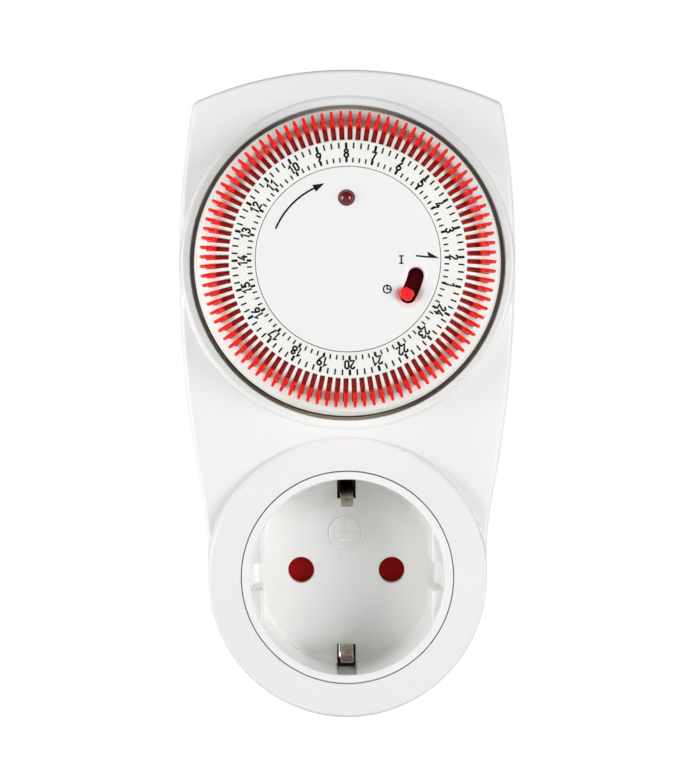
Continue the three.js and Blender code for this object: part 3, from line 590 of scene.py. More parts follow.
def outline_points(spacing=0.9, turn=7.0):
    """Points of the whole outline, anticlockwise from the bottom, and their outward normals."""
    points, normals = [], []
    for cx, cz, radius, start, end in ARCS:
        reach = abs(radius)
        sweep_angle = abs(end - start)
        steps = max(1, math.ceil(max(math.radians(sweep_angle) * reach / spacing, sweep_angle / turn)))
        first, last = (start, end) if radius > 0 else (end, start)
        for k in range(steps):
            angle = first + (last - first) * k / steps
            direction = polar(1, angle)
            points.append(np.array([cx, cz]) + reach * direction)
            normals.append(direction if radius > 0 else -direction)
    points.append(np.array([0.0, TOP_Z]))
    normals.append(np.array([0.0, 1.0]))
    return tuple(np.array(right + [p * (-1, 1) for p in right[-2:0:-1]]) for right in (points, normals))


def inside_distance(x, z):
    """How far points lie inside the outline; a large number well inside, negative outside."""
    x = np.abs(x)
    well_inside = 99.0
    best = np.full(x.shape, well_inside)
    for cx, cz, radius, start, end in ARCS:
        angle = np.degrees(np.arctan2(z - cz, x - cx)) % 360
        reach = away(x, z, (cx, cz))
        slack = math.degrees(0.002 / abs(radius))
        low, high = (min(start, end) - slack) % 360, (max(start, end) + slack) % 360
        within = (angle >= low) & (angle <= high) if low <= high else (angle >= low) | (angle <= high)
        distance = radius - reach if radius > 0 else reach + radius
        best = np.where(within, np.minimum(best, distance), best)
    return best


OUTLINE, OUTLINE_NORMALS = outline_points()


def outline_ring(distance, y, mask=None):
    """The outline moved outwards and placed at a depth."""
    points = OUTLINE + distance * OUTLINE_NORMALS
    return at_y(points if mask is None else points[mask], y)


def draft_at(y):
    return DRAFT * (y - RING_Y) / (REAR_Y - RING_Y)


def deep_mask(depth):
    """Outline points that stay valid when they are moved inwards by a depth."""
    points = OUTLINE - depth * OUTLINE_NORMALS
    return inside_distance(*points.T) > depth - 0.02


# ---- Surfaces given by a depth function ----


def drop(distance, radius):
    """How far a rounded edge has fallen at a distance inside it."""
    t = np.clip(1 - distance / radius, 0, 1)
    return radius * (1 - np.sqrt(1 - t * t))


def nearer(a, b, blend):
    """The nearer of two depths, with a fillet between them."""
    h = np.clip(blend - np.abs(a - b), 0, None) / blend
    return np.minimum(a, b) - h * h * blend / 4


def raised_ring(radius, y, inner, outer, inner_round, outer_round=0.8):
    """Depth of a flat ring with rounded edges whose outer wall falls away steeply."""
    wall_slope = 7.0
    wall = outer_round + np.clip(radius - outer, 0, None) * wall_slope
    edge = np.where(radius < outer, drop(outer - radius, outer_round), wall)
    return y + drop(radius - inner, inner_round) + edge


def search_tree(points):
    tree = kdtree.KDTree(len(points))
    for i, point in enumerate(points):
        tree.insert((*point, 0), i)
    tree.balance()
    return tree


def scatter(fixed, loose):
    """Points from several sets, leaving out loose ones that lie too close to those before them."""
    kept = list(np.vstack(fixed))
    for points, room in loose:
        tree = search_tree(kept)
        kept += [p for p in points if tree.find((*p, 0))[2] > room]
    return np.array(kept)


def surface(loops, loose, depth, keep, back_y, widen=None):
    """A closed body whose front follows a depth function and whose back is flat.

    loops are the closed edge lines; loose is a list of (points, room); keep says which places are material;
    widen moves the back's edge points outwards.
    """
    points = scatter(loops, loose)
    edges, base = [], 0
    for loop in loops:
        edges += [(base + i, base + (i + 1) % len(loop)) for i in range(len(loop))]
        base += len(loop)
    flat = [Vector(p) for p in points]
    made, _, triangles, *_ = geometry.delaunay_2d_cdt(flat, edges, [], 0, 1e-6, False)
    made = np.array([tuple(p) for p in made])
    triangles = np.array([tuple(t) for t in triangles])
    middle = made[triangles].mean(axis=1)
    triangles = triangles[keep(middle[:, 0], middle[:, 1])]
    used = np.unique(triangles)
    renumber = np.zeros(len(made), int)
    renumber[used] = np.arange(len(used))
    made, triangles = made[used], renumber[triangles]
    a, b, c = made[triangles].transpose(1, 0, 2)
    turn = (b - a)[:, 0] * (c - a)[:, 1] - (b - a)[:, 1] * (c - a)[:, 0]
    triangles[turn < 0] = triangles[turn < 0][:, ::-1]
    count = len(made)
    front = at_y(made, 0)
    front[:, 1] = depth(made[:, 0], made[:, 1])
    behind = made if widen is None else widen(made)
    faces = [tuple(t) for t in triangles.tolist()]
    sides = dict.fromkeys(pair for a, b, c in faces for pair in ((a, b), (b, c), (c, a)))
    walls = [(b, a, a + count, b + count) for a, b in sides if (b, a) not in sides]
    backs = [(c + count, b + count, a + count) for a, b, c in faces]
    return outward(np.vstack([front, at_y(behind, back_y)]), faces + walls + backs)


def shade_front(made, depth, edge_normal=None):
    """Gives the front of a piece the exact normals of its depth function."""
    mesh = made.data

    def values(rows, key, width=1, kind=float):
        found = np.zeros(width * len(rows), kind)
        rows.foreach_get(key, found)
        return found.reshape(-1, width) if width > 1 else found

    x, y, z = values(mesh.vertices, "co", 3).T / MM
    step = 0.012
    gx = (depth(x + step, z) - depth(x - step, z)) / (2 * step)
    gz = (depth(x, z + step) - depth(x, z - step)) / (2 * step)
    normals = np.column_stack([gx, -np.ones(len(x)), gz])
    if edge_normal is not None:
        edge_normal(x, z, normals)
    normals /= np.linalg.norm(normals, axis=1)[:, None]
    on_front = np.abs(depth(x, z) - y) < 0.02
    corner = values(mesh.loops, "vertex_index", kind=int)
    totals = values(mesh.polygons, "loop_total", kind=int)
    facing = np.repeat(values(mesh.polygons, "normal", 3), totals, axis=0)
    custom = np.where((on_front[corner] & (facing[:, 1] < -0.05))[:, None], normals[corner], 0.0)
    mesh.normals_split_custom_set(custom.tolist())


# ---- Front cover ----


def cover_depth(x, z):
    crown = CROWN_Y + CROWN_RADIUS - np.sqrt(CROWN_RADIUS ** 2 - x * x)
    bezel = raised_ring(away(x, z, DIAL), BEZEL_Y, BEZEL_INNER, BEZEL_OUTER, 0.3)
    ring = raised_ring(away(x, z, SOCKET), RING_Y, INSERT_BORE, RING_OUTER, 0.15)
    rings = nearer(bezel, ring, 0.3)
    return nearer(crown, rings, 0.35) + drop(inside_distance(x, z), EDGE_ROUNDING)


def cover_edge_normal(x, z, normals):
    """Along the outline the surface has turned fully sideways."""
    at_edge = inside_distance(x, z) < 0.015
    step = 0.02
    gx = inside_distance(x - step, z) - inside_distance(x + step, z)
    gz = inside_distance(x, z - step) - inside_distance(x, z + step)
    normals[at_edge] = np.column_stack([gx, -0.002 * np.ones(len(x)), gz])[at_edge]


def front_cover():
    dial_steps, socket_steps = 240, 200
    bore = circle(BEZEL_INNER, dial_steps, DIAL)
    well = circle(INSERT_BORE, socket_steps, SOCKET)
    loose = []
    for inward in (0.03, 0.1, 0.2, 0.35, 0.5, 0.7, 0.9, 1.1, 1.5, 2.2):
        points = OUTLINE - inward * OUTLINE_NORMALS
        room = inside_distance(*points.T)
        loose.append((points[room > inward - 0.004], 0.018))
    outer_rows = (-0.8, -0.65, -0.5, -0.35, -0.2, -0.1, -0.03, 0, 0.1, 0.2, 0.3, 0.5, 0.8)
    for centre, steps, inner, inner_rows, outer in (
            (DIAL, dial_steps, BEZEL_INNER, (0.03, 0.1, 0.2, 0.3, 0.7), BEZEL_OUTER),
            (SOCKET, socket_steps, INSERT_BORE, (0.04, 0.15, 1.0, 2.5, 4.0), RING_OUTER)):
        rows = [inner + d for d in inner_rows] + [outer + d for d in outer_rows]
        loose += [(circle(radius, steps, centre), 0.06) for radius in rows]
    across = np.arange(-HALF_WIDTH, HALF_WIDTH, 1.5)
    upward = np.arange(-FOOT_RADIUS, TOP_Z, 1.5)
    grid = np.array([(x, z) for x in across for z in upward])
    grid = grid[inside_distance(*grid.T) > 2.5]
    loose.append((grid, 0.6))
    loose = [(within_cover(points), room) for points, room in loose]

    def keep(x, z):
        return (inside_distance(x, z) > 0) & outside_bores(x, z)

    def widen(points):
        moved = points.copy()
        tree = search_tree(OUTLINE)
        for i, point in enumerate(points):
            _, nearest, distance = tree.find((*point, 0))
            if distance < 1e-3:
                moved[i] = OUTLINE[nearest] + draft_at(PARTING_Y) * OUTLINE_NORMALS[nearest]
        return moved

    body = surface([OUTLINE, bore, well], loose, cover_depth, keep, PARTING_Y, widen)
    shell = cut(body, cover_hollow(), *[cylinder(POST_BORE, -44, PARTING_Y + 1, post, 20) for post in POSTS])
    made = piece("cover_front_shell", shell, "housing", "housing", "front_cover")
    shade_front(made, cover_depth, cover_edge_normal)


def bezel_ledge():
    """A narrow ring inside the bezel that almost closes the gap around the dial."""
    profile = rectangle(LEDGE_RADIUS, BEZEL_INNER - 0.01, LEDGE_Y, LEDGE_Y + 0.8)
    # its colour is painted shade: darker and warmer than the housing white, for the bounce light in the gap
    piece("bezel_ledge_ring", lathe(profile, 240, DIAL), "ledge", "housing")


def outside_bores(x, z, slack=0.0):
    return (away(x, z, DIAL) > BEZEL_INNER + slack) & (away(x, z, SOCKET) > INSERT_BORE + slack)


def within_cover(points):
    return points[(inside_distance(*points.T) > 0.005) & outside_bores(*points.T, 0.01)]


def cover_hollow():
    """The space inside the front cover, around its skirts and screw posts."""
    mask = deep_mask(HOLLOW_EDGE)
    block_out = stack([
        outline_ring(-HOLLOW_EDGE, RING_Y - 2, mask),
        outline_ring(draft_at(PARTING_Y) - WALL, PARTING_Y + 1, mask)])
    half, steps = 40.0, 40
    inner_radius = CROWN_RADIUS - WALL
    x = np.linspace(-half, half, steps + 1)
    y = CROWN_Y + CROWN_RADIUS - np.sqrt(inner_radius ** 2 - x * x)
    side = np.vstack([np.column_stack([x, y]), [(half, 0), (-half, 0)]])
    below, above, ahead = -40, 110, -70
    behind = stack([np.column_stack([side, np.full(len(side), z)]) for z in (below, above)])
    hollow = crop(block_out, behind)
    skirts = [
        cylinder(BEZEL_OUTER - 0.3, ahead, PLATE_Y - 0.3, DIAL, 96),
        cylinder(RING_OUTER + 0.4, ahead, RING_Y + 5, SOCKET, 96),
    ]
    posts = [cylinder(3, ahead, PARTING_Y - 0.3, post, 32) for post in POSTS]
    return cut(hollow, *skirts, *posts)


# ---- Rear cover with the plug ----


def boss_outline(grow=0.0):
    """Cross-section of the plug: round, with a flat on each side and a rib in the middle of each flat."""
    radius, flat, rib = 18.4 + grow, 16.7 + grow, 2.3 + grow
    flat_angle = math.degrees(math.acos(flat / radius))
    rib_angle = math.degrees(math.asin(rib / radius))
    half = [
        *arc((0, 0), radius, -rib_angle, rib_angle, 6),
        (flat, rib), *arc((0, 0), radius, flat_angle, 180 - flat_angle, 72), (-flat, rib)]
    return np.vstack([half, -np.array(half)])


def rear_cover():
    back_round, foot_fillet, end_round = 1.3, 0.7, 1.0
    post_radius, boss_bore, head_hole, pin_hole = 3.7, 15.4, 2.6, 2.62
    rings = [outline_ring(draft_at(REAR_COVER_Y), REAR_COVER_Y)]
    rings += [outline_ring(DRAFT - fall, REAR_Y - aside) for aside, fall in edge_round(back_round, 6)]
    mask = deep_mask(HOLLOW_EDGE)
    hollow = stack([outline_ring(draft_at(REAR_COVER_Y) - HOLLOW_EDGE, REAR_COVER_Y - 1, mask),
                    outline_ring(DRAFT - HOLLOW_EDGE, REAR_Y - WALL, mask)])
    posts = [cylinder(post_radius, -60, REAR_Y - 1, post, 32) for post in POSTS]
    plate = cut(stack(rings), cut(hollow, *posts))
    boss = [at_y(boss_outline(aside), REAR_Y - 0.01 + fall) for aside, fall in edge_round(foot_fillet)]
    boss += [at_y(boss_outline(-fall), PLUG_Y - aside) for aside, fall in edge_round(end_round, 5)]
    cuts = [cylinder(boss_bore, REAR_Y - 4, PLUG_Y - 3, SOCKET, 96)]
    for post in POSTS:
        cuts.append(flipped_hole(head_hole, PARTING_Y + 4, REAR_Y, post, 0.4))
        cuts.append(cylinder(POST_BORE, -40, REAR_Y, post, 20))
    strap_slot_half, strap_slot_inner, strap_slot_outer = 1.42, 16.0, 20.6
    for side in (-1, 1):
        cuts.append(flipped_hole(pin_hole, -10, PLUG_Y, (side * PIN_X, 0), 0.3))
        near, far = sorted((side * strap_slot_inner, side * strap_slot_outer))
        cuts.append(block(-strap_slot_half, strap_slot_half, REAR_Y - 3, PLUG_Y - 0.8, near, far))
    shell = cut(join(plate, stack(boss)), *cuts)
    piece("cover_rear_shell", shell, "housing", "housing", "rear_cover")


def flipped_hole(radius, y0, y1, centre, flare):
    """A cutter for a hole with a rounded mouth at its far end y1."""
    verts, faces = hole(radius, -y1, -y0, centre, flare, 48)
    verts = verts.copy()
    verts[:, 1] *= -1
    return outward(verts, faces)


def housing_screws():
    """Pan head with a cross recess; the thread is a row of ridges."""
    head_y, tip_y = PARTING_Y + 4.3, -42
    radius, pitch = 1.2, 0.9
    thread = []
    y = head_y - 0.6
    while y > tip_y + 1.5:
        thread += [(radius - 0.25, y), (radius, y - pitch / 2)]
        y -= pitch
    profile = [
        (0, tip_y), (0.5, tip_y + 0.6), *thread[::-1], (radius - 0.1, head_y), (2.15, head_y),
        *arc((0.75, head_y + 0.6), 1.4, 0, 80, 8), (0, head_y + 2.02)]
    slot_long, slot_wide = 1.3, 0.28
    for i, (x, z) in enumerate(POSTS, 1):
        wedges = [block(-long, long, head_y + 0.8, head_y + 3, -wide, wide)
                  for long, wide in ((slot_long, slot_wide), (slot_wide, slot_long))]
        verts, faces = cut(lathe(profile, 40), *[spin(wedge, 17 * i, SOCKET) for wedge in wedges])
        piece(f"screw_{i}_cross_head", (verts + (x, 0, z), faces), "steel", "steel", f"housing_screw_{i}")


# ---- Socket ----


def socket_insert():
    rim_y, flange_y = RING_Y + 0.05, INSERT_BACK_Y - 2.5
    floor_radius, mouth_radius, outer_radius, flange_radius = 19.25, 19.6, 21.15, 24.3
    profile = rounded([
        (0, FLOOR_Y, 0), (floor_radius, FLOOR_Y, 1.1), (mouth_radius, rim_y, 0.3), (outer_radius, rim_y, 0.2),
        (outer_radius, flange_y, 0), (flange_radius, flange_y, 0), (flange_radius, INSERT_BACK_Y, 0),
        (0, INSERT_BACK_Y, 0)], 6)
    cup = lathe(profile, 192)
    within = cylinder(20.4, RING_Y, FLOOR_Y + 1, SOCKET, 192)
    guides = []
    inner, outer, low, high = 17.0, 21, 2.7, 10.6
    for side in (-1, 1):
        for up in (-1, 1):
            corners = [(side * inner, up * low, 0.3), (side * outer, up * low, 0),
                       (side * outer, up * high, 0), (side * inner, up * high, 0)]
            guide = prism(rounded(corners, 3), RING_Y + 1.4, FLOOR_Y + 1, front=0.35)
            guides.append(crop(guide, within))
    pivot = cylinder(1.5, INSERT_BACK_Y - 1, INSERT_BACK_Y + 4.6, SOCKET, 32)
    body = join(cup, *guides, pivot, *earth_symbol())
    cuts = [hole(PIN_HOLE_RADIUS, FLOOR_Y, INSERT_BACK_Y + 1, (side * PIN_X, 0)) for side in (-1, 1)]
    slot_half, slot_outer = 1.95, 20.6
    # the wall's edges beside each slot are chamfered
    wide, mouth, chamfer_end = slot_half + 0.35, 19.2, 19.7
    for up, slot_inner in ((-1, 15.5), (1, 15.0)):
        near, far = sorted((up * slot_inner, up * slot_outer))
        cuts.append(block(-slot_half, slot_half, RING_Y + 0.9, INSERT_BACK_Y + 1, near, far))
        flare = [(-wide, up * mouth), (wide, up * mouth),
                 (slot_half, up * chamfer_end), (-slot_half, up * chamfer_end)]
        cuts.append(prism(flare, RING_Y + 0.9, FLOOR_Y - 0.2))
    piece("socket_well_insert", cut(body, *cuts), "socket", "socket", "socket_insert")


def stroke(points, width):
    """A printed line along flat points, with mitred corners and round ends."""
    points = np.asarray(points, float)
    ahead = np.diff(points, axis=0)
    ahead /= np.linalg.norm(ahead, axis=1)[:, None]
    side = np.column_stack([-ahead[:, 1], ahead[:, 0]])
    before, after = np.vstack([side[:1], side]), np.vstack([side, side[-1:]])
    mitre = (before + after) / (1 + np.sum(before * after, axis=1))[:, None]
    length = np.linalg.norm(mitre, axis=1)
    mitre *= (np.minimum(length, 1.5) / length * width / 2)[:, None]
    start = math.degrees(math.atan2(side[0, 1], side[0, 0]))
    end = math.degrees(math.atan2(side[-1, 1], side[-1, 0]))
    around = np.vstack([
        points + mitre, arc(points[-1], width / 2, end, end - 180, 6)[1:-1],
        (points - mitre)[::-1], arc(points[0], width / 2, start + 180, start, 6)[1:-1]])
    return printed(around)


def earth_symbol():
    """The standard protective-earth sign, raised on the floor of the well."""
    centre = np.array([-0.15, 7.7])
    y, deep, half, ring_radius, ring_half = FLOOR_Y - 0.24, 0.6, 0.21, 3.48, 0.22
    made = []
    for reach, z0, z1 in ((0, 0, 3.3), (2.9, 0, 0), (2.0, -1.12, -1.12), (0.97, -2.2, -2.2)):
        bar = rectangle(-reach - half, reach + half, z0 - half, z1 + half, 0.1, 2)
        made.append(prism(bar + centre, y, y + deep, front=0.12))
    ridge = [(ring_radius + a, y + 0.12 - 0.55 * b) for a, b in arc((0, 0), ring_half, 0, 180, 8)]
    profile = [*ridge, (ring_radius - ring_half, y + deep), (ring_radius + ring_half, y + deep)]
    return [*made, lathe(profile, 96, centre)]


def earth_straps():
    """Each strip starts as the clip that bulges into the well, runs back beside it and ends beside the plug."""
    run, plug_side = 18.2, 16.8
    behind = [
        (RING_Y + 15.5, 15.9), (RING_Y + 19, 16.1), (-31, 16.3), (-28, 17.3), (-25.5, run), (REAR_Y - 3.4, run),
        (REAR_Y - 2, plug_side), (REAR_Y + 4, plug_side), (REAR_Y + 8, plug_side + 0.9),
        (REAR_Y + 12, plug_side + 0.8), (REAR_Y + 15, plug_side - 0.1)]
    section = rectangle(-1.3, 1.3, -0.32, 0.32, 0.18)
    rib_half, rib_radius, rib_lift = 0.95, 0.19, 0.26
    around = circle(rib_radius, 10)
    for name, side, lead_in, bulge in (("upper", 1, 15.75, 13.95), ("lower", -1, 17.75, 14.9)):
        slope = lead_in - bulge
        clip = [(RING_Y + 6.3, lead_in), (RING_Y + 7.5, lead_in - 0.5 * slope),
                (RING_Y + 9, lead_in - 0.85 * slope), (RING_Y + 10.7, bulge), (RING_Y + 12.7, bulge + 0.5)]
        path = smooth_path([(0.0, y, side * z) for y, z in clip + behind], 8)
        # Two coined ribs across the lead-in of the clip, with tapered ends
        ribs = []
        for y, along in ((RING_Y + 7.45, 0.48), (RING_Y + 9, 0.85)):
            z = side * (lead_in - along * slope - rib_lift)
            ribs.append(stack([
                np.column_stack([np.full(10, x), around * size + (y, z)])
                for x, size in zip(np.linspace(-rib_half, rib_half, 7), (0.6, 1, 1, 1, 1, 1, 0.6))]))
        piece(f"earth_strip_{name}_formed", join(sweep(path, section), *ribs), "nickel", "nickel",
              f"earth_strap_{name}")


def plug_pins():
    length, radius, root_radius, flange_radius = 19.0, 2.4, 2.0, 3.6
    profile = [
        (0, -13), (root_radius, -13), (root_radius, -7), (flange_radius, -7), (flange_radius, PLUG_Y - 3.3),
        (radius, PLUG_Y - 3.3), (radius, length - radius - 0.2), *arc((0.0, length - radius), radius, 4, 90, 12)]
    profile = [(r, min(y, length)) for r, y in profile]
    for name, side in (("line", 1), ("neutral", -1)):
        piece(f"plug_pin_{name}_turned", lathe(profile, 64, (side * PIN_X, 0)), "pin", "nickel", f"{name}_pin")


def shutter_bar():
    (_, front, _), (_, back, _) = box_mm("shutter")
    half, half_width = 13.2, 3.3
    end = math.degrees(math.asin(half_width / half))
    upper_edge = [(4.6, half_width), (3, 3.6), (-3, 3.6), (-4.6, half_width)]
    right = np.vstack([arc((0, 0), half, -end, end, 10), upper_edge])
    body = prism(np.vstack([right, turned_by(right, 180)]), front, back, front=0.3)
    ramp = [(0.9, front + 0.35), (1.3, front + 0.1), (1.7, front + 0.35), (1.7, back - 0.4), (0.9, back - 0.4)]
    ramps = [lathe(ramp, 40, (side * PIN_X, 0)) for side in (-1, 1)]
    made = join(cut(body, cylinder(1.8, front - 1, back + 1, SOCKET, 32)), *ramps)
    piece("shutter_bar_moulded", made, "shutter", "shutter", "shutter", body="shutter_bar")


# ---- Dial ----


def hour_angle(hour):
    return TOP_HOUR_ANGLE + (hour - TOP_HOUR) * 360 / HOURS


def dial_ring():
    tube_end, tube_radius, rim_end = DIAL_HIGH[1], 19.5, RIM_Y + 4.8
    profile = rounded([
        (DIAL_BORE, PLATEAU_Y, 0.12), (PLATEAU_RADIUS, PLATEAU_Y, 0.5), (RIM_RADIUS, RIM_Y, 0.45),
        (LIP_RADIUS, rim_end, 0), (LIP_RADIUS - 1, rim_end, 0), (LIP_RADIUS - 1, SLOT_FLOOR_Y, 0),
        (tube_radius, SLOT_FLOOR_Y, 0), (tube_radius, tube_end, 0), (DIAL_BORE, tube_end, 0)], 4)
    half = SLOT_WIDTH / 2
    slot = rounded([(SLOT_INNER, -half, 0.15), (SLOT_OUTER, -half, 0.45),
                    (SLOT_OUTER, half, 0.45), (SLOT_INNER, half, 0.15)], 3)
    slots = []
    for k in range(HOURS * QUARTERS):
        outline = turned_by(slot, hour_angle(0) + (k + 0.5) * SEGMENT_STEP, DIAL)
        slots.append(prism(outline, PLATEAU_Y - 1, SLOT_FLOOR_Y + 1))
    ring = cut(lathe(profile, 384, DIAL), merge(*slots))
    piece("dial_slotted", ring, "dial", "dial", "dial_ring", body="dial", crease=30)


BAR_DEPTH = 0.8
BLADE_INNER = SLOT_INNER + 0.07
BLADE_OUTER = 28.0
FINGER_INNER = 25.3
FINGER_OUTER = 29.1
RIDGES_START = 26.35
RIDGES_END = 28.85
RIDGE_PITCH = 0.45


def blade():
    """One switching blade along +X: a low foot in the slot, then a ribbed finger whose tip overhangs the dial."""
    bottom = BAR_BACK_Y - BAR_DEPTH
    foot_y, finger_y = PLATEAU_Y + 3.0, PLATEAU_Y
    tip_round, fine = 0.27, 0.065
    radii = np.concatenate([
        np.linspace(BLADE_INNER, 25.2, 5), np.arange(25.3, 26.5, 0.12), np.arange(26.5, BLADE_OUTER - 0.02, fine),
        (BLADE_OUTER - 0.01, BLADE_OUTER + 0.01), np.arange(BLADE_OUTER + 0.07, 28.8, fine),
        np.linspace(28.82, FINGER_OUTER - 0.004, 8)])
    rings = []
    for r in radii:
        along = np.clip((r - FINGER_INNER) / (FINGER_OUTER - FINGER_INNER), 0, 1)
        half = 0.45 - 0.16 * along ** 1.2
        from_tip = max(r - (FINGER_OUTER - tip_round), 0)
        if from_tip > 0:
            half = min(half, math.sqrt(max(tip_round ** 2 - from_tip ** 2, 1e-4)))
        rise = np.clip((r - 25.6) / 0.9, 0, 1)
        rise = rise * rise * (3 - 2 * rise)
        top = foot_y + (finger_y - foot_y) * rise + 0.32 * along ** 2
        ridged = np.clip((r - RIDGES_START) / 0.2, 0, 1) * np.clip((RIDGES_END - r) / 0.2, 0, 1)
        top += 0.1 * ridged * (1 - math.cos(2 * math.pi * (r - RIDGES_START) / RIDGE_PITCH))
        top += 0.22 * (from_tip / tip_round) ** 2
        under = bottom if r < BLADE_OUTER else PLATEAU_Y + 1.3 + 0.45 * (r - BLADE_OUTER)
        edge = min(0.13, half * 0.55)
        section = [
            (-half, under), (-half, top + edge), (-half + 0.3 * edge, top + 0.3 * edge), (-half + edge, top),
            (0, top - 0.02), (half - edge, top), (half - 0.3 * edge, top + 0.3 * edge),
            (half, top + edge), (half, under)]
        rings.append(np.array([(r, y, t) for t, y in section]))
    return stack(rings)


def hour_segments():
    one = blade()
    for hour in range(1, HOURS + 1):
        angles = [hour_angle(hour) + (k + 0.5) * SEGMENT_STEP for k in range(QUARTERS)]
        first, last = angles[0], angles[-1]
        bar = prism([*arc(DIAL, 27.6, first, last, 9), *arc(DIAL, 24.6, last, first, 9)],
                    BAR_BACK_Y - BAR_DEPTH, BAR_BACK_Y)
        piece(f"segments_{hour:02d}_fingers", merge(*[spin(one, angle) for angle in angles], bar), "segments",
              "segments", f"segments_hour_{hour:02d}", body=f"hour_{hour:02d}", crease=40)


# ---- Prints ----

PRINT_Y = PLATEAU_Y - 0.035
PRINT_BACK_Y = PRINT_Y + 0.07


def digit_lines():
    """Centre lines of the numerals 0 to 9 in a cell 0.56 wide and 1 high."""
    left, right, low, high, bowl = 0.075, 0.485, 0.07, 0.93, 0.225
    middle = (left + right) / 2
    half = (right - left) / 2
    oval = np.vstack([arc((middle, high - half), half, 0, 180, 12), arc((middle, low + half), half, 180, 360, 12)])
    return {
        "0": [np.vstack([oval, oval[:1]])],
        "1": [[(0.13, 0.74), (0.34, high + 0.02), (0.34, low - 0.05)]],
        "2": [np.vstack([arc((middle, high - 0.2), 0.2, 165, -25, 12), [(left, low), (right + 0.02, low)]])],
        "3": [np.vstack([arc((middle - 0.01, high - 0.19), 0.19, 150, -80, 12),
                         arc((middle - 0.01, low + bowl), bowl, 80, -150, 14)])],
        "4": [[(0.36, high + 0.02), (left - 0.02, 0.3), (right + 0.03, 0.3)], [(0.385, 0.5), (0.385, low - 0.05)]],
        "5": [np.vstack([[(right - 0.02, high), (0.14, high), (0.11, 0.54)],
                         arc((middle - 0.01, low + 0.235), 0.235, 115, -145, 14)])],
        "6": [arc((middle, low + bowl), bowl, 90, 450, 22),
              [(0.40, high + 0.02), (0.22, 0.68), (0.085, 0.42), (middle - bowl, low + bowl)]],
        "7": [[(left - 0.01, high), (right + 0.01, high), (0.2, low - 0.05)]],
        "8": [arc((middle, high - 0.185), 0.185, -90, 270, 18), arc((middle, low + bowl), bowl, 90, 450, 20)],
        "9": [arc((middle, high - bowl), bowl, -90, 270, 22),
              [(0.16, low - 0.02), (0.34, 0.32), (0.475, 0.58), (middle + bowl, high - bowl)]],
    }


def numeral(text, height):
    """Strokes of a number, centred on the origin with its top towards +Z."""
    advance = 0.63
    lines = digit_lines()
    width = advance * len(text) - 0.07
    return [(np.asarray(line, float) + (k * advance - width / 2, -0.5)) * height
            for k, character in enumerate(text) for line in lines[character]]


def printed(outline):
    return prism(outline, PRINT_Y, PRINT_BACK_Y)


def radial_tick(r0, r1, width, angle):
    half = width / 2
    return printed(turned_by(rectangle(r0, r1, -half, half, half * 0.6, 2), angle, DIAL))


def dial_print():
    digit_height, digit_radius, digit_stroke = 1.76, 20.68, 0.37
    made = []
    for k in range(HOURS * QUARTERS):
        on_hour = k % QUARTERS == 0
        angle = hour_angle(0) + k * SEGMENT_STEP
        made.append(radial_tick(21.6, 22.78, 0.5 if on_hour else 0.32, angle))
        made.append(radial_tick(18.87, 19.82, 0.48 if on_hour else 0.3, angle))
    for hour in range(1, HOURS + 1):
        # the digits stand with their tops outwards
        made.append(join(*[
            stroke(turned_by(line + (0, digit_radius), hour_angle(hour) - 90, DIAL), digit_stroke)
            for line in numeral(str(hour), digit_height)]))
    piece("dial_numerals_print", merge(*made), "ink", "black_plastic", body="dial")


def disc_print():
    """The turning arrow, the pointer at the scale, and the signs for on and for the timer."""
    pointer_tail, pointer_tip, pointer_barb = (13.4, 0.62), (17.82, 0.15), (15.5, 1.45)
    flag = [(15.5, 0.24), pointer_tip, pointer_barb, (15.72, 0.5), (15.5, 0.5)]
    made = [
        stroke(arc(DIAL, 15.32, 157, 114, 40), 0.36),
        printed(np.array([polar(15.5, 107.2), polar(16.05, 115.8), polar(14.55, 115.5)]) + DIAL),
        stroke([pointer_tail, (15.6, 0.38)] + DIAL, 0.33),
        printed(flag + DIAL)]
    one = DIAL + (10.42, -0.12)
    for bar in ((-0.15, 0.15, -0.75, 0.75), (-0.42, 0.42, 0.6, 0.86), (-0.42, 0.42, -0.86, -0.6)):
        made.append(printed(rectangle(*bar) + one))
    clock = DIAL + (7.65, -5.9)
    made.append(stroke(arc(clock, 0.76, 0, 358, 36), 0.27))
    made.append(stroke([clock + (0, 0.62), clock, clock + (0.5, 0)], 0.26))
    piece("disc_symbols_print", merge(*made), "ink", "black_plastic")


# ---- Centre disc, override and lamp ----


def slot_outline(half, steps=14):
    """The override's curved slot, with round ends."""
    on, auto = OVERRIDE_ON, OVERRIDE_AUTO
    return np.vstack([
        arc(DIAL, OVERRIDE_ARC + half, auto, on, steps)[:-1],
        arc(DIAL + polar(OVERRIDE_ARC, on), half, on, on + 180, steps * 2)[:-1],
        arc(DIAL, OVERRIDE_ARC - half, on, auto, steps)[:-1],
        arc(DIAL + polar(OVERRIDE_ARC, auto), half, auto + 180, auto + 360, steps * 2)[:-1]])


def slot_distance(x, z):
    """Distance from the slot's centre line."""
    dx, dz = x - DIAL[0], z - DIAL[1]
    angle = np.degrees(np.arctan2(dz, dx))
    near = np.radians(np.where(angle > 90, OVERRIDE_ON, np.clip(angle, OVERRIDE_AUTO, OVERRIDE_ON)))
    return np.hypot(dx - OVERRIDE_ARC * np.cos(near), dz - OVERRIDE_ARC * np.sin(near))


def disc_depth(x, z):
    to_slot = slot_distance(x, z) - OVERRIDE_HALF
    dish_deep, dish_wide = 0.45, 0.8
    dish = dish_deep * np.clip(1 - to_slot / dish_wide, 0, 1)
    return (PLATEAU_Y + drop(DISC_RADIUS - away(x, z, DIAL), 0.15) + dish
            + drop(to_slot, 0.12) + drop(away(x, z, LENS) - LENS_HOLE, 0.1))


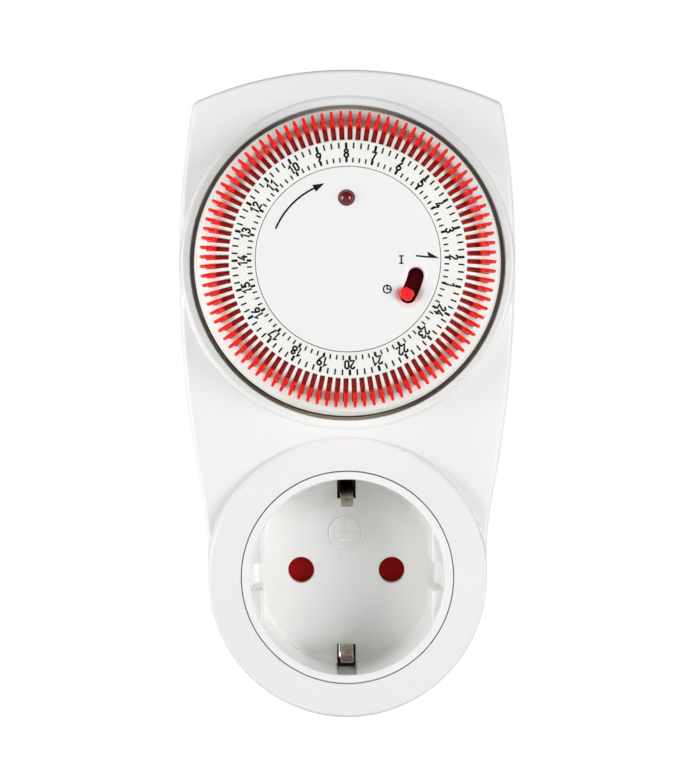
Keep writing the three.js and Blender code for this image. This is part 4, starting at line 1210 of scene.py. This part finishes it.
def centre_disc():
    rim_steps, lens_steps = 288, 48
    rim = circle(DISC_RADIUS, rim_steps, DIAL)
    slot = slot_outline(OVERRIDE_HALF)
    lens_hole = circle(LENS_HOLE, lens_steps, LENS)
    rows = [circle(DISC_RADIUS - d, rim_steps, DIAL) for d in (0.03, 0.08, 0.15, 0.5)]
    rows += [slot_outline(OVERRIDE_HALF + d) for d in (0.03, 0.07, 0.12, 0.25, 0.4, 0.55, 0.75, 1.0)]
    rows += [circle(LENS_HOLE + d, lens_steps, LENS) for d in (0.03, 0.07, 0.1, 0.4)]
    span = np.arange(-DISC_RADIUS, DISC_RADIUS, 1.2)
    grid = np.array([DIAL + (x, z) for x in span for z in span if math.hypot(x, z) < DISC_RADIUS - 0.8])
    loose = [(points, 0.015) for points in rows] + [(grid, 0.5)]

    def keep(x, z):
        return ((away(x, z, DIAL) < DISC_RADIUS) & (slot_distance(x, z) > OVERRIDE_HALF)
                & (away(x, z, LENS) > LENS_HOLE))

    loose = [(points[keep(*points.T)], room) for points, room in loose]
    body = surface([rim, slot, lens_hole], loose, disc_depth, keep, PLATE_Y - 0.3)
    inner = cylinder(DISC_RADIUS - 1.6, PLATEAU_Y + 1.5, -40, DIAL, 128)
    collar = prism(slot_outline(OVERRIDE_HALF + 0.8), PLATEAU_Y - 2, PLATEAU_Y + 3.4)
    post = cylinder(1.8, PLATEAU_Y - 1, PLATEAU_Y + 6.3, DIAL, 32)
    shell = cut(body, cut(inner, collar, post))
    made = piece("disc_centre_moulded", shell, "disc", "disc", "centre_disc")
    shade_front(made, disc_depth)


def override():
    """The knob, its stem and the arm behind the slot."""
    arm_y0, arm_y1 = PLATEAU_Y + 4.3, PLATEAU_Y + 5.7
    half = [(12.05, -0.55, 0.2), (12.55, -1.12, 0.25), (14.15, -1.12, 0.25), (14.7, -0.6, 0.25)]
    knob_outline = rounded([*half, *[(r, -t, corner) for r, t, corner in half[::-1]]], 3)
    knob = prism(knob_outline, PLATEAU_Y - 1.7, arm_y0 + 0.4, front=0.28)
    arm = prism(rectangle(2, 12, -2.6, 2.6, 0.3, 4), arm_y0, arm_y1)
    fan_outline = np.vstack([arc((0, 0), 16, -27, 27, 36), arc((0, 0), 11.3, 27, -27, 30)])
    fan = prism(fan_outline, arm_y0, arm_y1, front=0.15)
    hub_radius, bore_radius, peg_radius, peg_arm = 3.6, 2.1, 1, 12
    hub = cylinder(hub_radius, arm_y0, arm_y1, steps=48)
    peg = cylinder(peg_radius, arm_y0 + 0.5, PLATE_Y + 1.5, (peg_arm, 0), 24)
    bore = cylinder(bore_radius, arm_y0 - 1, arm_y1 + 1, steps=32)
    arm_body = spin(cut(join(arm, hub, fan, peg), bore), OVERRIDE_AUTO)
    piece("override_arm_moulded", arm_body, "arm", "knob", "override_slider", body="override")
    piece("override_knob_moulded", spin(knob, OVERRIDE_AUTO), "knob", "knob", body="override")


def indicator_lens():
    dome_radius, flange_radius = 1.54, 2.3
    flange_y, flange_back_y = PLATEAU_Y + 1.7, PLATEAU_Y + 2.4
    profile = [
        *arc((0, PLATEAU_Y + 0.5), dome_radius, -90, 0, 18), (dome_radius, flange_y),
        (flange_radius, flange_y), (flange_radius, flange_back_y), (0, flange_back_y)]
    piece("lens_dome", lathe(profile, 64, LENS), "lens", "lens", "indicator_lens")


# ---- CAD nodes that stay as they are ----

NODE_LOOKS = {
    "steel": ("shutter_spring", "idler_axle", "motor_plate", "motor_can", "switch_lever"),
    "brass": ("line_contact", "neutral_contact", "earth_bridge", "output_pinion"),
    "acetal": ("dial_gear", "idler_gear"), "carrier": ("contact_carrier",), "copper": ("motor_coil",),
    "lamp": ("neon_lamp",), "board": ("lamp_board",), "plate": ("mechanism_plate",), "black": ("microswitch",),
    "knob": ("switch_plunger",), "brown_wire": ("line_wire",), "black_wire": ("load_wire",),
}


def dress_nodes():
    for look, names in NODE_LOOKS.items():
        for name in names:
            node = frame["nodes"][name]
            for slot in node.material_slots:
                slot.material = MATERIALS[look]
            if not node.material_slots:
                node.data.materials.append(MATERIALS[look])


# ---- Stage ----


def floor():
    below, reach = 0.06, 4.0
    height = CAD_BOX[0][2] - below
    corners = [(x, y, height) for x, y in ((-reach, -reach), (reach, -reach), (reach, reach), (-reach, reach))]
    made = solid("studio_floor", (corners, [(0, 1, 2, 3)]), 1)
    look = Look("floor_white")
    parts = look.node("ShaderNodeSeparateXYZ", Vector=look.place)
    # the sweep behind the object is lit up to white
    look.set(Base_Color=look.mix(look.noise(0.6), (240, 240, 240), (243, 243, 243)), Roughness=0.9,
             Emission_Color=(1, 1, 1, 1), Emission_Strength=look.ramp(parts.outputs["Y"], 0.12, 1.0, 0.05, 0.22))
    made.data.materials.append(look.material)


LIGHT_TINT = (0.985, 1.0, 1.016)  # slightly cool, as the white plastic is slightly warm


def softbox(name, angle, size, power, distance=0.62):
    """A rectangular light at an angle from the object's front, positive to the right."""
    data = bpy.data.lights.new(name, "AREA")
    data.shape = "RECTANGLE"
    data.size, data.size_y = size
    data.energy = power
    data.color = LIGHT_TINT
    lamp = bpy.data.objects.new(name, data)
    bpy.context.scene.collection.objects.link(lamp)
    middle = Vector((0.0, -0.05, 0.045))  # about the middle of the object's front
    turn = math.radians(angle)
    lamp.location = middle + distance * Vector((math.sin(turn), -math.cos(turn), 0.0))
    lamp.rotation_euler = (middle - lamp.location).to_track_quat("-Z", "Y").to_euler()


# The studio's own light from each side of the room, as (axis, direction, strength)
ROOM_LIGHT = (("Y", -1, 0.42), ("X", -1, 0.3), ("X", 1, 0.08), ("Z", 1, 0.08), ("Y", 1, 0.25))


def world():
    """White behind everything for the camera; for light, soft lobes from the sides of the room."""
    made = bpy.data.worlds.new("studio")
    bpy.context.scene.world = made
    made.use_nodes = True
    made.node_tree.nodes.clear()
    nodes = Nodes(made.node_tree)

    def math_node(operation, *values):
        node = nodes.node("ShaderNodeMath", operation=operation)
        for socket, value in zip(node.inputs, values):
            nodes.put(socket, value)
        return node.outputs[0]

    place = nodes.node("ShaderNodeTexCoord").outputs["Generated"]
    parts = nodes.node("ShaderNodeSeparateXYZ", Vector=place)
    total = 0.0
    for axis, direction, strength in ROOM_LIGHT:
        facing = math_node("MAXIMUM", math_node("MULTIPLY", parts.outputs[axis], direction), 0.0)
        total = math_node("ADD", math_node("MULTIPLY", math_node("MULTIPLY", facing, facing), strength), total)
    light = nodes.node("ShaderNodeBackground", Color=(*LIGHT_TINT, 1), Strength=total)
    plain = nodes.node("ShaderNodeBackground", Color=(1, 1, 1, 1))
    ray = nodes.node("ShaderNodeLightPath")
    mix = nodes.node("ShaderNodeMixShader", Fac=ray.outputs["Is Camera Ray"])
    nodes.put(mix.inputs[1], light.outputs[0])
    nodes.put(mix.inputs[2], plain.outputs[0])
    nodes.node("ShaderNodeOutputWorld", Surface=mix.outputs[0])


CAMERA_PLACE = (-0.0047, -0.423, 0.0331)
CAMERA_LENS = 86.49
CAMERA_SHIFT = (0.0208, 0.035)


def camera():
    data = bpy.data.cameras.new("camera")
    data.lens = CAMERA_LENS
    data.sensor_width = 36.0
    data.shift_x, data.shift_y = CAMERA_SHIFT
    data.clip_start = 0.01
    made = bpy.data.objects.new("camera", data)
    bpy.context.scene.collection.objects.link(made)
    made.location = CAMERA_PLACE
    made.rotation_euler = (math.radians(90), 0, 0)
    bpy.context.scene.camera = made


# Each light as (name, angle, size in metres, power in watts)
SOFTBOXES = (
    ("softbox_right", 49, (0.3, 0.3), 2.3), ("softbox_left", -57, (0.14, 0.3), 1.45),
    ("sidelight_left", -80, (0.24, 0.45), 1.2))


def stage():
    bpy.context.scene.view_settings.view_transform = "Standard"
    world()
    floor()
    for light in SOFTBOXES:
        softbox(*light)
    camera()


# ---- Everything ----

for step in (front_cover, bezel_ledge, rear_cover, housing_screws, socket_insert, earth_straps, plug_pins,
             shutter_bar, dial_ring, hour_segments, dial_print, centre_disc, disc_print, override, indicator_lens,
             dress_nodes, stage):
    step()
